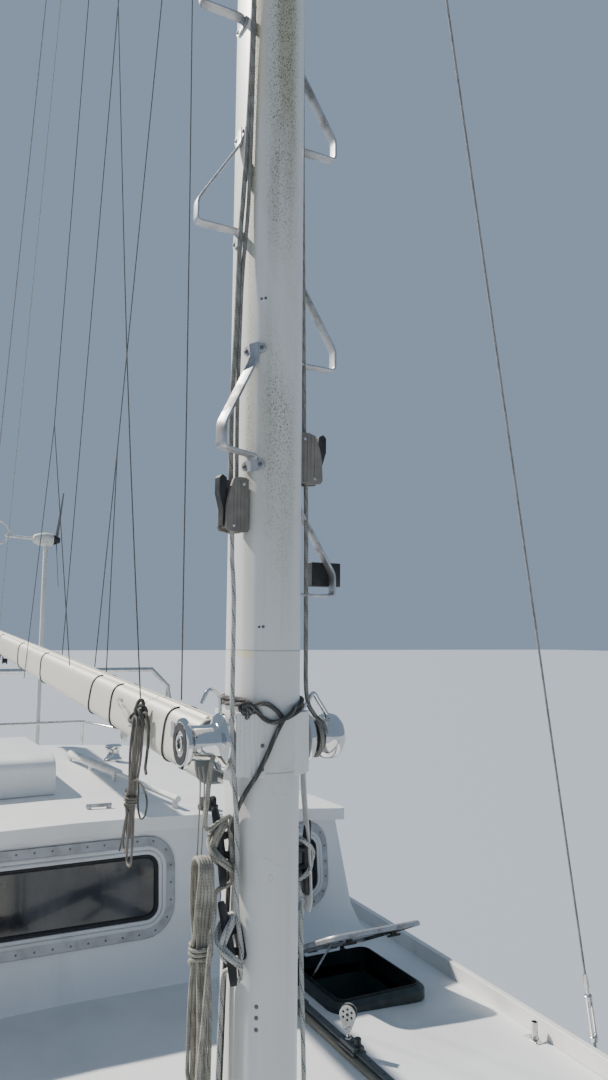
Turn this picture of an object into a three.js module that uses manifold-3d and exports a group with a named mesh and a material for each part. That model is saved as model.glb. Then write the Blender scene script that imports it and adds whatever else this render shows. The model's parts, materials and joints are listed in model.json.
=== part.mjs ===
// Sailing yacht, cutter rigged, with a full-width pilothouse. Millimetres.
// +X is forward, +Y is port, +Z is up. The origin is amidships, on the centreline, at the waterline.
import * as THREE from 'three';
import { mergeVertices } from 'three/addons/utils/BufferGeometryUtils.js';
import Module from 'manifold-3d';

const wasm = await Module();
wasm.setup();

// Driving dimensions
const FIT_GAP = 0.3;
const PIN_PLAY = 0.9;
const SIDES = [['port', 1], ['starboard', -1]];

const HULL = { bowX: 6400, sternX: -6400, camber: 60, edgeStrip: 60, sections: 20, sidePoints: 9 };
// Sections of the hull: x, half beam, sheer height, bottom height, form (2 is a V, 1 is an ellipse)
const HULL_SECTIONS = [
  [6400, 40, 1520, 1370, 2.0],
  [6050, 300, 1478, 800, 1.9],
  [5500, 650, 1415, 130, 1.65],
  [4800, 1010, 1340, -270, 1.4],
  [3800, 1370, 1258, -540, 1.15],
  [2600, 1620, 1185, -700, 0.98],
  [1450, 1735, 1146, -780, 0.9],
  [200, 1800, 1128, -800, 0.86],
  [-1000, 1862, 1118, -780, 0.84],
  [-2400, 1900, 1108, -700, 0.84],
  [-3800, 1850, 1104, -510, 0.86],
  [-5200, 1680, 1108, -190, 0.9],
  [-6400, 1400, 1122, 130, 0.95],
];
const TRANSOM_RAKE = 0.25;

const KEEL = { rootFront: 1500, rootBack: -1500, tipFront: 950, tipBack: -1350, depth: -1850, width: 300 };
const RUDDER = { stockX: -5150, bottomZ: -1280, topZ: -330, chord: 560, stockRadius: 32 };
const SHAFT = { z: -700, bossRadius: 40, radius: 16, tubeFront: -3000, tubeBack: -4330 };
const PROPELLER = { x: -4420, radius: 215, blades: 3, hubRadius: 45, hubLength: 110 };

const TOE_RAIL = { height: 72, frontX: 6150, backX: -6250 };

const HOUSE = {
  frontX: -615, cornerX: -820, backX: -3330, centreHalf: 660, halfWidth: 1640, sideBack: 1600,
  wall: 45, lean: 200, rake: 85, round: 55, topZ: 2150, footZ: 1000,
};
// The cove where the walls meet the deck: height and how far it stands out there
const HOUSE_COVE = [[HOUSE.footZ, 60], [1150, 60], [1200, 25], [1310, 0]];
const ROOF = { crownZ: 1945, drop: 115, thickness: 62, overhang: 60, backX: -3420 };
const SALOON = { frontX: -800, backX: -3230, halfWidth: 1480, soleZ: 420 };

// Windows by the wall that holds them: height of the middle, then the frame and the glass
const WINDOW_SIZES = {
  centre: { z: 1614, width: 990, height: 460, corner: 145, paneWidth: 800, paneHeight: 287, paneCorner: 58 },
  quarter: { z: 1575, width: 700, height: 440, corner: 140, paneWidth: 520, paneHeight: 265, paneCorner: 58 },
  side: { z: 1545, width: 1780, height: 450, corner: 140, paneWidth: 1600, paneHeight: 270, paneCorner: 58 },
};
const SIDE_WINDOW_X = -2230;
const FLANGE = 9;

const GRAB_RAIL = { height: 50, runs: [[[-760, 540], [-2560, 345]], [[-1080, -980], [-3180, -980]]] };
const HOOD = { frontX: -1330, backX: -2440, inY: 40, outY: -760, height: 205, wall: 28 };
const SLIDE = { frontX: -2500, backX: -3290, inY: 0, outY: -720, thickness: 34, lift: 8 };
const COMPANION = { frontX: -2560, backX: -3230, inY: -40, outY: -680 };
const DOOR = { inY: -60, outY: -660, sillZ: 1235, headZ: 1790, thickness: 32, pinRadius: 8 };

const HATCH = { frontX: -30, backX: -510, inY: 1060, outY: 1475, rim: 46, topZ: 1206, lid: 26, openAngle: 25 };
const TRACK = { y: 905, frontX: 1150, backX: -100, width: 34, height: 24 };

const MAST = { x: 1450, long: 230, wide: 156, power: 0.86, topZ: 16200, taperZ: 13800, footZ: 1150, facets: 20 };
const MAST_STEP = { pitch: 590, portZ: 2900, starboardZ: 3220, count: 19, reach: 122, rise: 245, nose: 58 };
// The lowest starboard step stands this far forward of the mast's middle
const LOW_STEP_FORWARD = 76;
const STRAP = { width: 30, thick: 7 };
const WINCH = { z: 2557, padHeight: 140, base: 66, drum: 37, length: 118 };
// Half of a winch pad's outline across the mast's side: along the mast's section, out from its middle
const WINCH_PAD = [[70, 92], [98, 66], [106, 44], [106, 30]];
// Rope clutches on the mast: name, side, height, distance forward of the mast's middle
const CLUTCHES = [['port', 1, 3178, 13], ['starboard', -1, 3038, 52]];
// Horn cleats on the mast: side, height, distance forward of the mast's middle, tilt in degrees
const MAST_CLEATS = [[-1, 2330, 24, 18], [-1, 2135, 58, 17], [1, 2280, 22, 0]];
const HORN = { out: 33, half: 85, radius: 11 };
const GOOSENECK = { x: 1250, z: 2485, plate: 10, gap: 92, pinRadius: 9, half: 30 };
const BOOM = { endX: -3980, height: 165, width: 110, rise: 2.9, capX: 1160 };
// Spreader pairs: height, half span, sweep aft
const SPREADERS = [['lower', 8100, 1180, 60], ['upper', 12000, 880, 40]];

const WIRE = 5;
const INNER_STAY_Z = 12200;
const SCREW = { radius: 14, length: 330 };
const CHAINPLATE = { out: 44, low: 46, high: 12 };

const COCKPIT = { frontX: -3560, backX: -5380, half: 550, soleZ: 560, seatZ: 1085, seatHalf: 990 };
const COAMING = { half: 1110, topZ: 1400, frontX: -3420, backX: -5560 };
const SEAT_LID = { frontX: -3980, backX: -4900, inY: 610, outY: 935, thickness: 28, wellZ: 760, ledge: 32 };
const PEDESTAL = { x: -4560, hubZ: 1500, wheelX: -4760, wheelRadius: 350, rimRadius: 15, spokes: 6 };
const COCKPIT_WINCH_X = -3950;

const BOW_FITTING = { frontX: 6760, backX: 5820, half: 62, plate: 8, cheek: 120, rollerRadius: 30 };
const LOCKER = { frontX: 5150, backX: 4560, half: 330, topZ: 1470, rim: 40, lid: 28 };
const PULPIT = { tube: 13, height: 620 };
const ARCH = { tube: 20, x: -4120, half: 1560, topZ: 2490, railX: -5950, railY: 1150, railZ: 1850 };

const WINDMILL = { x: -6000, y: 680, poleRadius: 25, poleTop: 3740, hubZ: 3860, radius: 590, blades: 3 };

// Colours and finishes
const FINISH = {
  paint: { color: 0xe9e7e0, roughness: 0.45, metalness: 0 },
  bottom: { color: 0x2b3440, roughness: 0.7, metalness: 0 },
  alloy: { color: 0xc9cbcc, roughness: 0.45, metalness: 0.7 },
  steel: { color: 0xb9bcbf, roughness: 0.25, metalness: 1 },
  bronze: { color: 0x9a7440, roughness: 0.35, metalness: 1 },
  glass: { color: 0x1c2329, roughness: 0.08, metalness: 0 },
  smoked: { color: 0x5f6f78, roughness: 0.2, metalness: 0 },
  dark: { color: 0x2a2a2a, roughness: 0.6, metalness: 0 },
  cream: { color: 0xe2dcc8, roughness: 0.5, metalness: 0 },
  teak: { color: 0x8d6a45, roughness: 0.7, metalness: 0 },
  rope: { color: 0x9b9a90, roughness: 0.9, metalness: 0 },
  composite: { color: 0x77736b, roughness: 0.6, metalness: 0 },
};

const yacht = new THREE.Group();

// Solids: a closed geometry becomes a solid, and a solid becomes a geometry again
function solid(geometry) {
  const bare = geometry.clone();
  for (const name of ['normal', 'uv']) bare.deleteAttribute(name);
  const merged = mergeVertices(bare, 1e-3);
  const vertices = new Float32Array(merged.attributes.position.array);
  const index = facingOut(new Uint32Array(merged.index.array), vertices);
  return new wasm.Manifold(new wasm.Mesh({ numProp: 3, vertProperties: vertices, triVerts: index }));
}

// Triangles in the order that makes their faces point outwards
function facingOut(index, vertices) {
  const corner = (i) => new THREE.Vector3().fromArray(vertices, index[i] * 3);
  let volume = 0;
  for (let i = 0; i < index.length; i += 3) volume += corner(i).dot(corner(i + 1).cross(corner(i + 2)));
  return volume < 0 ? index.reverse() : index;
}

function geometryOf(body) {
  const mesh = body.getMesh();
  const geometry = new THREE.BufferGeometry();
  geometry.setAttribute('position', new THREE.BufferAttribute(mesh.vertProperties, 3));
  geometry.setIndex(new THREE.BufferAttribute(mesh.triVerts, 1));
  geometry.computeVertexNormals();
  return geometry;
}

function add(name, body, finish) {
  const geometry = body.isBufferGeometry ? body : geometryOf(body);
  const mesh = new THREE.Mesh(geometry, new THREE.MeshStandardMaterial(FINISH[finish]));
  mesh.name = name;
  yacht.add(mesh);
  return mesh;
}

function unite(pieces) {
  return pieces.reduce((whole, piece) => whole.add(piece));
}

function block([x0, x1], [y0, y1], [z0, z1]) {
  const geometry = new THREE.BoxGeometry(Math.abs(x1 - x0), Math.abs(y1 - y0), Math.abs(z1 - z0));
  return solid(geometry.translate((x0 + x1) / 2, (y0 + y1) / 2, (z0 + z1) / 2));
}

// A round bar from one point to another, thinner at the far end where farRadius is given
function bar(from, to, radius, facets = 10, farRadius = radius) {
  const start = new THREE.Vector3(...from);
  const run = new THREE.Vector3(...to).sub(start);
  const geometry = new THREE.CylinderGeometry(farRadius, radius, run.length(), facets);
  const turn = new THREE.Quaternion().setFromUnitVectors(new THREE.Vector3(0, 1, 0), run.clone().normalize());
  geometry.applyQuaternion(turn).translate(...start.addScaledVector(run, 0.5).toArray());
  return solid(geometry);
}

// A bent tube: one ring of points at each end and, turned halfway, at each bend
function tube(points, radius, facets = 8) {
  const spots = points.map((point) => new THREE.Vector3(...point));
  const run = (i, j) => spots[j].clone().sub(spots[i]).normalize();
  const last = spots.length - 1;
  let across = null;
  const rings = spots.map((spot, i) => {
    const before = run(Math.max(i - 1, 0), Math.max(i, 1));
    const after = run(Math.min(i, last - 1), Math.min(i + 1, last));
    const along = before.clone().add(after).normalize();
    const widen = 1 / Math.sqrt(Math.max(0.3, (1 + before.dot(after)) / 2));
    const seed = across ?? (Math.abs(along.z) < 0.9 ? new THREE.Vector3(0, 0, 1) : new THREE.Vector3(1, 0, 0));
    const side = along.clone().cross(seed).normalize();
    const up = side.clone().cross(along).normalize();
    across = up.clone();
    const turn = before.clone().cross(after);
    const bend = turn.lengthSq() > 1e-6 ? turn.normalize().cross(along) : null;
    return Array.from({ length: facets }, (_, k) => {
      const angle = (k / facets) * 2 * Math.PI;
      const offset = side.clone().multiplyScalar(Math.cos(angle)).addScaledVector(up, Math.sin(angle));
      if (bend) offset.addScaledVector(bend, offset.dot(bend) * (widen - 1));
      return spot.clone().addScaledVector(offset, radius).toArray();
    });
  });
  return solid(loft(rings));
}

// A skin over rings that all have the same number of points, closed at both ends
function loft(rings) {
  const count = rings[0].length;
  const positions = rings.flat().flat();
  const index = [];
  for (let r = 0; r + 1 < rings.length; r += 1) {
    for (let i = 0; i < count; i += 1) {
      const a = r * count + i;
      const b = r * count + ((i + 1) % count);
      index.push(a, b, b + count, a, b + count, a + count);
    }
  }
  const ends = [[0, true], [rings.length - 1, false]];
  for (const [r, flip] of ends) {
    const centre = positions.length / 3;
    const mean = [0, 1, 2].map((k) => rings[r].reduce((sum, p) => sum + p[k], 0) / count);
    positions.push(...mean);
    for (let i = 0; i < count; i += 1) {
      const a = r * count + i;
      const b = r * count + ((i + 1) % count);
      index.push(...(flip ? [centre, b, a] : [centre, a, b]));
    }
  }
  const geometry = new THREE.BufferGeometry();
  geometry.setAttribute('position', new THREE.Float32BufferAttribute(positions, 3));
  geometry.setIndex(index);
  return geometry;
}

function roundedRectangle(width, height, corner, segments = 3) {
  const [w, h] = [width / 2, height / 2];
  const shape = new THREE.Shape();
  const corners = [[w - corner, h - corner, 0], [corner - w, h - corner, 1],
    [corner - w, corner - h, 2], [w - corner, corner - h, 3]];
  const points = corners.flatMap(([x, y, quarter]) =>
    Array.from({ length: segments + 1 }, (_, i) => {
      const angle = (quarter + i / segments) * (Math.PI / 2);
      return new THREE.Vector2(x + corner * Math.cos(angle), y + corner * Math.sin(angle));
    }));
  return shape.setFromPoints(points);
}

function extrude(shape, depth, segments = 6) {
  return new THREE.ExtrudeGeometry(shape, { depth, bevelEnabled: false, curveSegments: segments });
}

// Hull form
function smooth(x, column) {
  const rows = HULL_SECTIONS;
  let i = 0;
  while (i < rows.length - 2 && x < rows[i + 1][0]) i += 1;
  const [p, q] = [rows[i], rows[i + 1]];
  const t = (p[0] - x) / (p[0] - q[0]);
  const slope = (j) => {
    const [before, after] = [rows[Math.max(j - 1, 0)], rows[Math.min(j + 1, rows.length - 1)]];
    return (after[column] - before[column]) / (before[0] - after[0]);
  };
  const span = p[0] - q[0];
  const [m0, m1] = [slope(i) * span, slope(i + 1) * span];
  return (2 * t ** 3 - 3 * t ** 2 + 1) * p[column] + (t ** 3 - 2 * t ** 2 + t) * m0
    + (3 * t ** 2 - 2 * t ** 3) * q[column] + (t ** 3 - t ** 2) * m1;
}

const sectionX = Array.from({ length: HULL.sections }, (_, i) => {
  const t = i / (HULL.sections - 1);
  return HULL.bowX + (HULL.sternX - HULL.bowX) * (0.72 * t + 0.28 * t * t);
});

// The deck edge runs straight from one section to the next
const deckEdge = sectionX.map((x) => {
  const half = smooth(x, 1);
  return { x, half, top: smooth(x, 2), strip: Math.min(HULL.edgeStrip, half * 0.35) };
});

function edgeAt(x, key) {
  let i = 0;
  while (i < deckEdge.length - 2 && x < deckEdge[i + 1].x) i += 1;
  const [p, q] = [deckEdge[i], deckEdge[i + 1]];
  return p[key] + (q[key] - p[key]) * ((p.x - x) / (p.x - q.x));
}

const halfBeam = (x) => edgeAt(x, 'half');
const sheer = (x) => edgeAt(x, 'top');
const edgeStrip = (x) => edgeAt(x, 'strip');

function deckZ(x, y) {
  const inner = halfBeam(x) - edgeStrip(x);
  return sheer(x) + HULL.camber * Math.min(1, inner / 900) * (1 - Math.min(1, Math.abs(y) / inner) ** 2);
}

function hullRing(x) {
  const [half, top, bottom, form] = [1, 2, 3, 4].map((column) => smooth(x, column));
  const aft = Math.max(0, (-5300 - x) / 1100);
  const place = (y, z) => [x + aft * TRANSOM_RAKE * (top - z), y, z];
  const side = Array.from({ length: HULL.sidePoints + 1 }, (_, i) => {
    const angle = (i / HULL.sidePoints) * (Math.PI / 2);
    const y = i === HULL.sidePoints ? 0 : half * Math.cos(angle) ** form;
    return [y, top - (top - bottom) * Math.sin(angle) ** form];
  });
  const inner = half - edgeStrip(x);
  const deck = [-1, -0.66, -0.33, 0, 0.33, 0.66, 1].map((f) => [f * inner, deckZ(x, f * inner)]);
  const port = side.map(([y, z]) => place(y, z));
  const starboard = side.slice(0, -1).reverse().map(([y, z]) => place(-y, z));
  return [...port, ...starboard, ...deck.map(([y, z]) => place(y, z))];
}

const hullBlank = solid(loft(sectionX.map(hullRing).reverse()));

// Whatever stands on the deck is cut to the deck's own curve, a hair above it
const deckCutter = hullBlank.translate([0, 0, FIT_GAP]);
const onDeck = (body) => body.subtract(deckCutter);
const underHull = (body) => body.subtract(hullBlank.translate([0, 0, -FIT_GAP]));

// Hatch, locker and cockpit boxes
function hatchWell(side) {
  const [y0, y1] = [HATCH.inY * side, HATCH.outY * side];
  return block([HATCH.backX, HATCH.frontX], [y0, y1], [620, 1400]);
}

function hullBody() {
  const { seatHalf, seatZ, soleZ, frontX, backX, half } = COCKPIT;
  const coaming = block([COAMING.backX, COAMING.frontX], [-COAMING.half, COAMING.half], [900, COAMING.topZ]);
  const lockerRim = block([LOCKER.backX, LOCKER.frontX], [-LOCKER.half, LOCKER.half], [1150, LOCKER.topZ]);
  const stockTube = bar([RUDDER.stockX, 0, -600], [RUDDER.stockX, 0, 150], RUDDER.stockRadius + PIN_PLAY, 24);
  const inset = LOCKER.rim;
  const cuts = [
    block([backX, frontX], [-half, half], [soleZ, 2000]),
    block([backX, COAMING.frontX + 10], [-seatHalf, seatHalf], [seatZ, 2000]),
    block([SALOON.backX, SALOON.frontX], [-SALOON.halfWidth, SALOON.halfWidth], [SALOON.soleZ, 2000]),
    block([LOCKER.backX + inset, LOCKER.frontX - inset], [inset - LOCKER.half, LOCKER.half - inset], [760, 2000]),
    stockTube,
    ...SIDES.map(([, side]) => hatchWell(side)),
    ...SIDES.map(([, side]) => block(
      [SEAT_LID.backX + SEAT_LID.ledge, SEAT_LID.frontX - SEAT_LID.ledge],
      [(SEAT_LID.inY + SEAT_LID.ledge) * side, (SEAT_LID.outY - SEAT_LID.ledge) * side],
      [SEAT_LID.wellZ, 2000])),
  ];
  return unite([hullBlank, coaming, lockerRim]).subtract(unite(cuts));
}

add('hull', hullBody(), 'paint');

// Underwater pieces
function foilRing(front, back, z, width) {
  const chord = front - back;
  const stations = [0, 0.04, 0.15, 0.35, 0.65, 0.92, 1];
  const halfAt = (t) => (width / 2) * Math.sqrt(Math.sin(Math.PI * Math.min(1, t ** 0.62))) * (t < 1 ? 1 : 0);
  const port = stations.map((t) => [front - chord * t, Math.max(halfAt(t), 6), z]);
  return [...port.map(([x, y]) => [x, y, z]), ...port.reverse().map(([x, y]) => [x, -y, z])];
}

const keelBlank = solid(loft([
  foilRing(KEEL.tipFront, KEEL.tipBack, KEEL.depth, KEEL.width * 1.1),
  foilRing(KEEL.rootFront, KEEL.rootBack, -450, KEEL.width),
]));
add('keel', underHull(keelBlank), 'bottom');

const skegFront = RUDDER.stockX + 620;
const skegBack = RUDDER.stockX + RUDDER.stockRadius + 12;
const skegBlank = solid(loft([
  foilRing(skegFront - 260, skegBack, RUDDER.bottomZ, 90),
  foilRing(skegFront, skegBack, 0, 110),
]));
const heel = block([RUDDER.stockX - 40, skegBack + 30], [-35, 35], [RUDDER.bottomZ - 45, RUDDER.bottomZ - 5]);
const pintle = bar([RUDDER.stockX, 0, RUDDER.bottomZ - 30], [RUDDER.stockX, 0, RUDDER.bottomZ + 60], 14, 16);
const skegFoot = block([skegBack, skegFront - 300], [-35, 35], [RUDDER.bottomZ - 45, RUDDER.bottomZ + 5]);
add('skeg', underHull(unite([skegBlank, heel, skegFoot, pintle])), 'bottom');

function rudderBody() {
  const { stockX, bottomZ, topZ, chord, stockRadius } = RUDDER;
  const noseRadius = stockRadius + 2;
  const blade = solid(loft([
    [[stockX, noseRadius, bottomZ + 6], [stockX - chord * 0.5, 30, bottomZ + 6], [stockX - chord, 5, bottomZ + 6],
      [stockX - chord, -5, bottomZ + 6], [stockX - chord * 0.5, -30, bottomZ + 6], [stockX, -noseRadius, bottomZ + 6]],
    [[stockX, noseRadius, topZ], [stockX - chord * 0.42, 34, topZ], [stockX - chord * 0.84, 6, topZ],
      [stockX - chord * 0.84, -6, topZ], [stockX - chord * 0.42, -34, topZ], [stockX, -noseRadius, topZ]],
  ]));
  const nose = bar([stockX, 0, bottomZ + 6], [stockX, 0, topZ], noseRadius, 24);
  const stock = bar([stockX, 0, topZ - 20], [stockX, 0, 140], stockRadius, 24);
  const bearing = bar([stockX, 0, bottomZ - 20], [stockX, 0, bottomZ + 66], 14 + PIN_PLAY, 16);
  return unite([blade, nose, stock]).subtract(bearing);
}
add('rudder', rudderBody(), 'bottom');

function shaftTube() {
  const { z, bossRadius, radius, tubeFront, tubeBack } = SHAFT;
  const outer = bar([tubeFront, 0, z], [tubeBack, 0, z], bossRadius, 16);
  const strut = block([tubeBack + 10, tubeBack + 120], [-12, 12], [z, 0]);
  const bore = bar([tubeBack + 330, 0, z], [tubeBack - 10, 0, z], radius + PIN_PLAY, 16);
  return underHull(unite([outer, strut])).subtract(bore);
}
add('shaft_tube', shaftTube(), 'bronze');

function propellerBody() {
  const { x, radius, blades, hubRadius, hubLength } = PROPELLER;
  const { z } = SHAFT;
  const hub = bar([x + hubLength / 2, 0, z], [x - hubLength / 2, 0, z], hubRadius, 18, hubRadius * 0.6);
  const shaft = bar([SHAFT.tubeBack + 320, 0, z], [x, 0, z], SHAFT.radius, 16);
  const outline = new THREE.Shape();
  outline.moveTo(-28, 20);
  outline.bezierCurveTo(-95, 90, -95, radius, 0, radius);
  outline.bezierCurveTo(95, radius, 95, 90, 28, 20);
  const leaves = Array.from({ length: blades }, (_, i) => {
    const leaf = extrude(outline, 9, 5).translate(0, 0, -4.5);
    leaf.rotateY(THREE.MathUtils.degToRad(32)).rotateY(Math.PI / 2);
    leaf.rotateX((i * 2 * Math.PI) / blades).translate(x, 0, z);
    return solid(leaf);
  });
  return unite([hub, shaft, ...leaves]);
}
add('propeller', propellerBody(), 'bronze');

// Toe rails along the deck edge
function toeRail(side) {
  const { height, frontX, backX } = TOE_RAIL;
  const inner = sectionX.filter((x) => x < frontX - 50 && x > backX + 50);
  const ring = (x) => {
    const strip = edgeStrip(x);
    const [outer, inside] = [halfBeam(x) - strip * 0.12, halfBeam(x) - strip * 0.85];
    const foot = sheer(x) + FIT_GAP;
    const section = [[inside, foot], [outer, foot], [outer - 6, foot + height], [inside + 6, foot + height]];
    const ordered = side > 0 ? section : section.map(([y, z]) => [-y, z]).reverse();
    return ordered.map(([y, z]) => [x, y, z]);
  };
  return onDeck(solid(loft([frontX, ...inner, backX].map(ring).reverse())));
}
for (const [name, side] of SIDES) add(`toe_rail_${name}`, toeRail(side), 'alloy');

// Pilothouse
const houseRake = HOUSE.rake / (HOUSE.topZ - 1150);
const houseLean = HOUSE.lean / (HOUSE.topZ - 1150);
const quarterSlope = (HOUSE.cornerX - HOUSE.frontX) / (HOUSE.halfWidth - HOUSE.centreHalf);

// The walls lean in: a flat centre facet, a quarter facet on each side, then the side walls
function houseRing(z, inset) {
  const front = HOUSE.frontX - houseRake * (z - 1150) - inset;
  const half = HOUSE.halfWidth - houseLean * (z - 1150) - inset;
  const rear = HOUSE.sideBack - houseLean * (z - 1150) - inset;
  const centre = HOUSE.centreHalf - inset * 0.1;
  const stern = HOUSE.backX + inset;
  const { round } = HOUSE;
  const quarterX = (y) => front + quarterSlope * (y - centre);
  const corner = quarterX(half - round);
  const port = [[front, centre], [corner, half - round], [corner - round * 0.4, half - round * 0.25],
    [corner - round, half], [stern, rear]];
  const starboard = port.map(([x, y]) => [x, -y]).reverse();
  return [...port, ...starboard].map(([x, y]) => [x, y, z]);
}

function camberSlab(topDrop, thickness) {
  const { crownZ, drop } = ROOF;
  const reach = HOUSE.halfWidth + 200;
  const steps = 12;
  const arc = Array.from({ length: steps + 1 }, (_, i) => {
    const y = -reach + (2 * reach * i) / steps;
    return new THREE.Vector2(y, crownZ - topDrop - drop * (y / HOUSE.halfWidth) ** 2);
  });
  const under = arc.map((p) => new THREE.Vector2(p.x, p.y - thickness)).reverse();
  const shape = new THREE.Shape([...arc, ...under]);
  const slab = extrude(shape, 3400);
  slab.rotateY(Math.PI / 2).rotateX(Math.PI / 2);
  return solid(slab.translate(-3900, 0, 0));
}

const HOUSE_TOP = 2200;
const houseWalls = solid(loft([houseRing(HOUSE.footZ, 0), houseRing(HOUSE_TOP, 0)]));
const houseCove = solid(loft(HOUSE_COVE.map(([z, out]) => houseRing(z, -out))))
  .intersect(block([HOUSE.backX, 0], [-2000, 2000], [HOUSE.footZ, HOUSE_TOP]));
const houseOuter = houseWalls.add(houseCove);
const houseInner = solid(loft([houseRing(HOUSE.footZ - 100, HOUSE.wall), houseRing(HOUSE_TOP + 50, HOUSE.wall)]));
const aboveWalls = camberSlab(-600, 600 + ROOF.thickness + FIT_GAP);

// A frame on a wall: its third axis points out of the wall and its second axis points up it
function facetFrame(kind, side = 1) {
  const { z } = WINDOW_SIZES[kind];
  const front = HOUSE.frontX - houseRake * (z - 1150);
  const half = HOUSE.halfWidth - houseLean * (z - 1150);
  const outs = {
    centre: [1, 0, houseRake],
    quarter: [1, -quarterSlope * side, houseRake],
    side: [(HOUSE.sideBack - HOUSE.halfWidth) / (HOUSE.cornerX - HOUSE.backX), side, houseLean],
  };
  const middle = (HOUSE.centreHalf + half - HOUSE.round) / 2;
  const back = (SIDE_WINDOW_X - HOUSE.cornerX) / (HOUSE.backX - HOUSE.cornerX);
  const origins = {
    centre: [front, 0, z],
    quarter: [front + quarterSlope * (middle - HOUSE.centreHalf), middle * side, z],
    side: [SIDE_WINDOW_X, (half + (HOUSE.sideBack - HOUSE.halfWidth) * back) * side, z],
  };
  const out = new THREE.Vector3(...outs[kind]).normalize();
  const across = new THREE.Vector3(0, 0, 1).cross(out).normalize();
  return new THREE.Matrix4().makeBasis(across, out.clone().cross(across), out).setPosition(...origins[kind]);
}

const WINDOWS = [
  ['window_front_centre', 'centre', 1],
  ...SIDES.map(([name, side]) => [`window_front_${name}`, 'quarter', side]),
  ...SIDES.map(([name, side]) => [`window_side_${name}`, 'side', side]),
].map(([name, kind, side]) => [name, facetFrame(kind, side), WINDOW_SIZES[kind]]);

const placed = (geometry, frame) => solid(geometry.applyMatrix4(frame));
const REVEAL = 12;

function glassCut(frame, window) {
  const shape = roundedRectangle(window.paneWidth + REVEAL, window.paneHeight + REVEAL, window.paneCorner);
  return placed(extrude(shape, 260).translate(0, 0, -200), frame);
}

function flangeBody(frame, window) {
  const shape = roundedRectangle(window.width, window.height, window.corner);
  const hole = roundedRectangle(window.paneWidth - REVEAL, window.paneHeight - REVEAL, window.paneCorner);
  shape.holes.push(hole);
  return placed(extrude(shape, FLANGE).translate(0, 0, 2.5), frame);
}

function paneBody(frame, window) {
  const play = 2 * FIT_GAP;
  const shape = roundedRectangle(
    window.paneWidth + REVEAL - play, window.paneHeight + REVEAL - play, window.paneCorner - FIT_GAP);
  return placed(extrude(shape, 10).translate(0, 0, 2.2 - 10), frame);
}

function doorCut() {
  const { inY, outY, sillZ, headZ, pinRadius } = DOOR;
  const [axisX, axisY] = doorAxis();
  const opening = block([HOUSE.backX - 60, HOUSE.backX + 120], [inY, outY], [sillZ, headZ]);
  const pinHoles = bar([axisX, axisY, sillZ - 26], [axisX, axisY, headZ + 26], pinRadius + PIN_PLAY, 16);
  return opening.add(pinHoles);
}

function doorAxis() {
  return [HOUSE.backX - 14, DOOR.outY + 24];
}

function houseBody() {
  const shell = houseOuter.subtract(houseInner);
  const jamb = block([HOUSE.backX - 34, HOUSE.backX + 20], [DOOR.inY + 60, DOOR.outY - 60],
    [DOOR.sillZ - 60, DOOR.headZ + 45]);
  const cuts = [
    aboveWalls,
    ...WINDOWS.map(([, frame, window]) => glassCut(frame, window)),
    doorCut(),
  ];
  return onDeck(shell.add(jamb)).subtract(unite(cuts));
}
add('pilothouse', houseBody(), 'paint');

for (const [name, frame, window] of WINDOWS) {
  add(`${name}_frame`, flangeBody(frame, window), 'alloy');
  add(`${name}_pane`, paneBody(frame, window), 'glass');
}

function roofZ(y) {
  return ROOF.crownZ - ROOF.drop * (y / HOUSE.halfWidth) ** 2;
}

const RUNNER = { width: 16 };
const slideZ = ROOF.crownZ + SLIDE.lift;

function roofBody() {
  const { overhang, backX, thickness } = ROOF;
  const ring = (z) => houseRing(1900, -overhang).map(([x, y]) => [x < HOUSE.cornerX - 400 ? backX : x, y, z]);
  const slab = solid(loft([ring(1500), ring(2300)])).intersect(camberSlab(0, thickness));
  const runners = [SLIDE.inY - 24, SLIDE.outY + 24].map((y) => block(
    [SLIDE.backX, HOOD.frontX - 60], [y - RUNNER.width / 2, y + RUNNER.width / 2],
    [roofZ(y) - 30, slideZ - FIT_GAP]));
  const rails = GRAB_RAIL.runs.flatMap(grabRail);
  const opening = block([COMPANION.backX, COMPANION.frontX], [COMPANION.inY, COMPANION.outY], [1500, 2400]);
  return unite([slab, ...runners, ...rails]).subtract(opening);
}

function grabRail([from, to]) {
  const at = (t) => [from[0] + (to[0] - from[0]) * t, from[1] + (to[1] - from[1]) * t];
  const topZ = roofZ(from[1]) + GRAB_RAIL.height;
  const feet = [0.02, 0.26, 0.5, 0.74, 0.98].map((t) => {
    const [x, y] = at(t);
    return bar([x, y, roofZ(y) - 20], [x, y, topZ], 16, 6);
  });
  return [bar([...at(0), topZ], [...at(1), topZ], 17, 8), ...feet];
}
add('roof', roofBody(), 'paint');

function hoodBody() {
  const { frontX, backX, inY, outY, height, wall } = HOOD;
  const side = new THREE.Shape();
  side.moveTo(backX, 1800);
  side.lineTo(frontX, 1800);
  side.lineTo(frontX, ROOF.crownZ + height * 0.72);
  side.quadraticCurveTo(frontX - 20, ROOF.crownZ + height, frontX - 160, ROOF.crownZ + height);
  side.lineTo(backX, ROOF.crownZ + height - 20);
  const outer = extrude(side, inY - outY, 4).rotateX(Math.PI / 2).translate(0, inY, 0);
  const inner = block([backX - 50, frontX - wall], [outY + wall, inY - wall],
    [1700, ROOF.crownZ + height - 20 - wall]);
  return solid(outer).subtract(inner).subtract(camberSlab(-FIT_GAP, 400));
}
add('sea_hood', hoodBody(), 'paint');

function slideBody() {
  const { frontX, backX, inY, outY, thickness } = SLIDE;
  const base = slideZ;
  const panel = block([backX, frontX], [inY, outY], [base, base + thickness]);
  const handle = block([backX + 30, backX + 60], [inY - 260, outY + 260], [base + thickness - 5, base + thickness + 26]);
  return panel.add(handle);
}
add('companion_slide', slideBody(), 'smoked');

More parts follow.
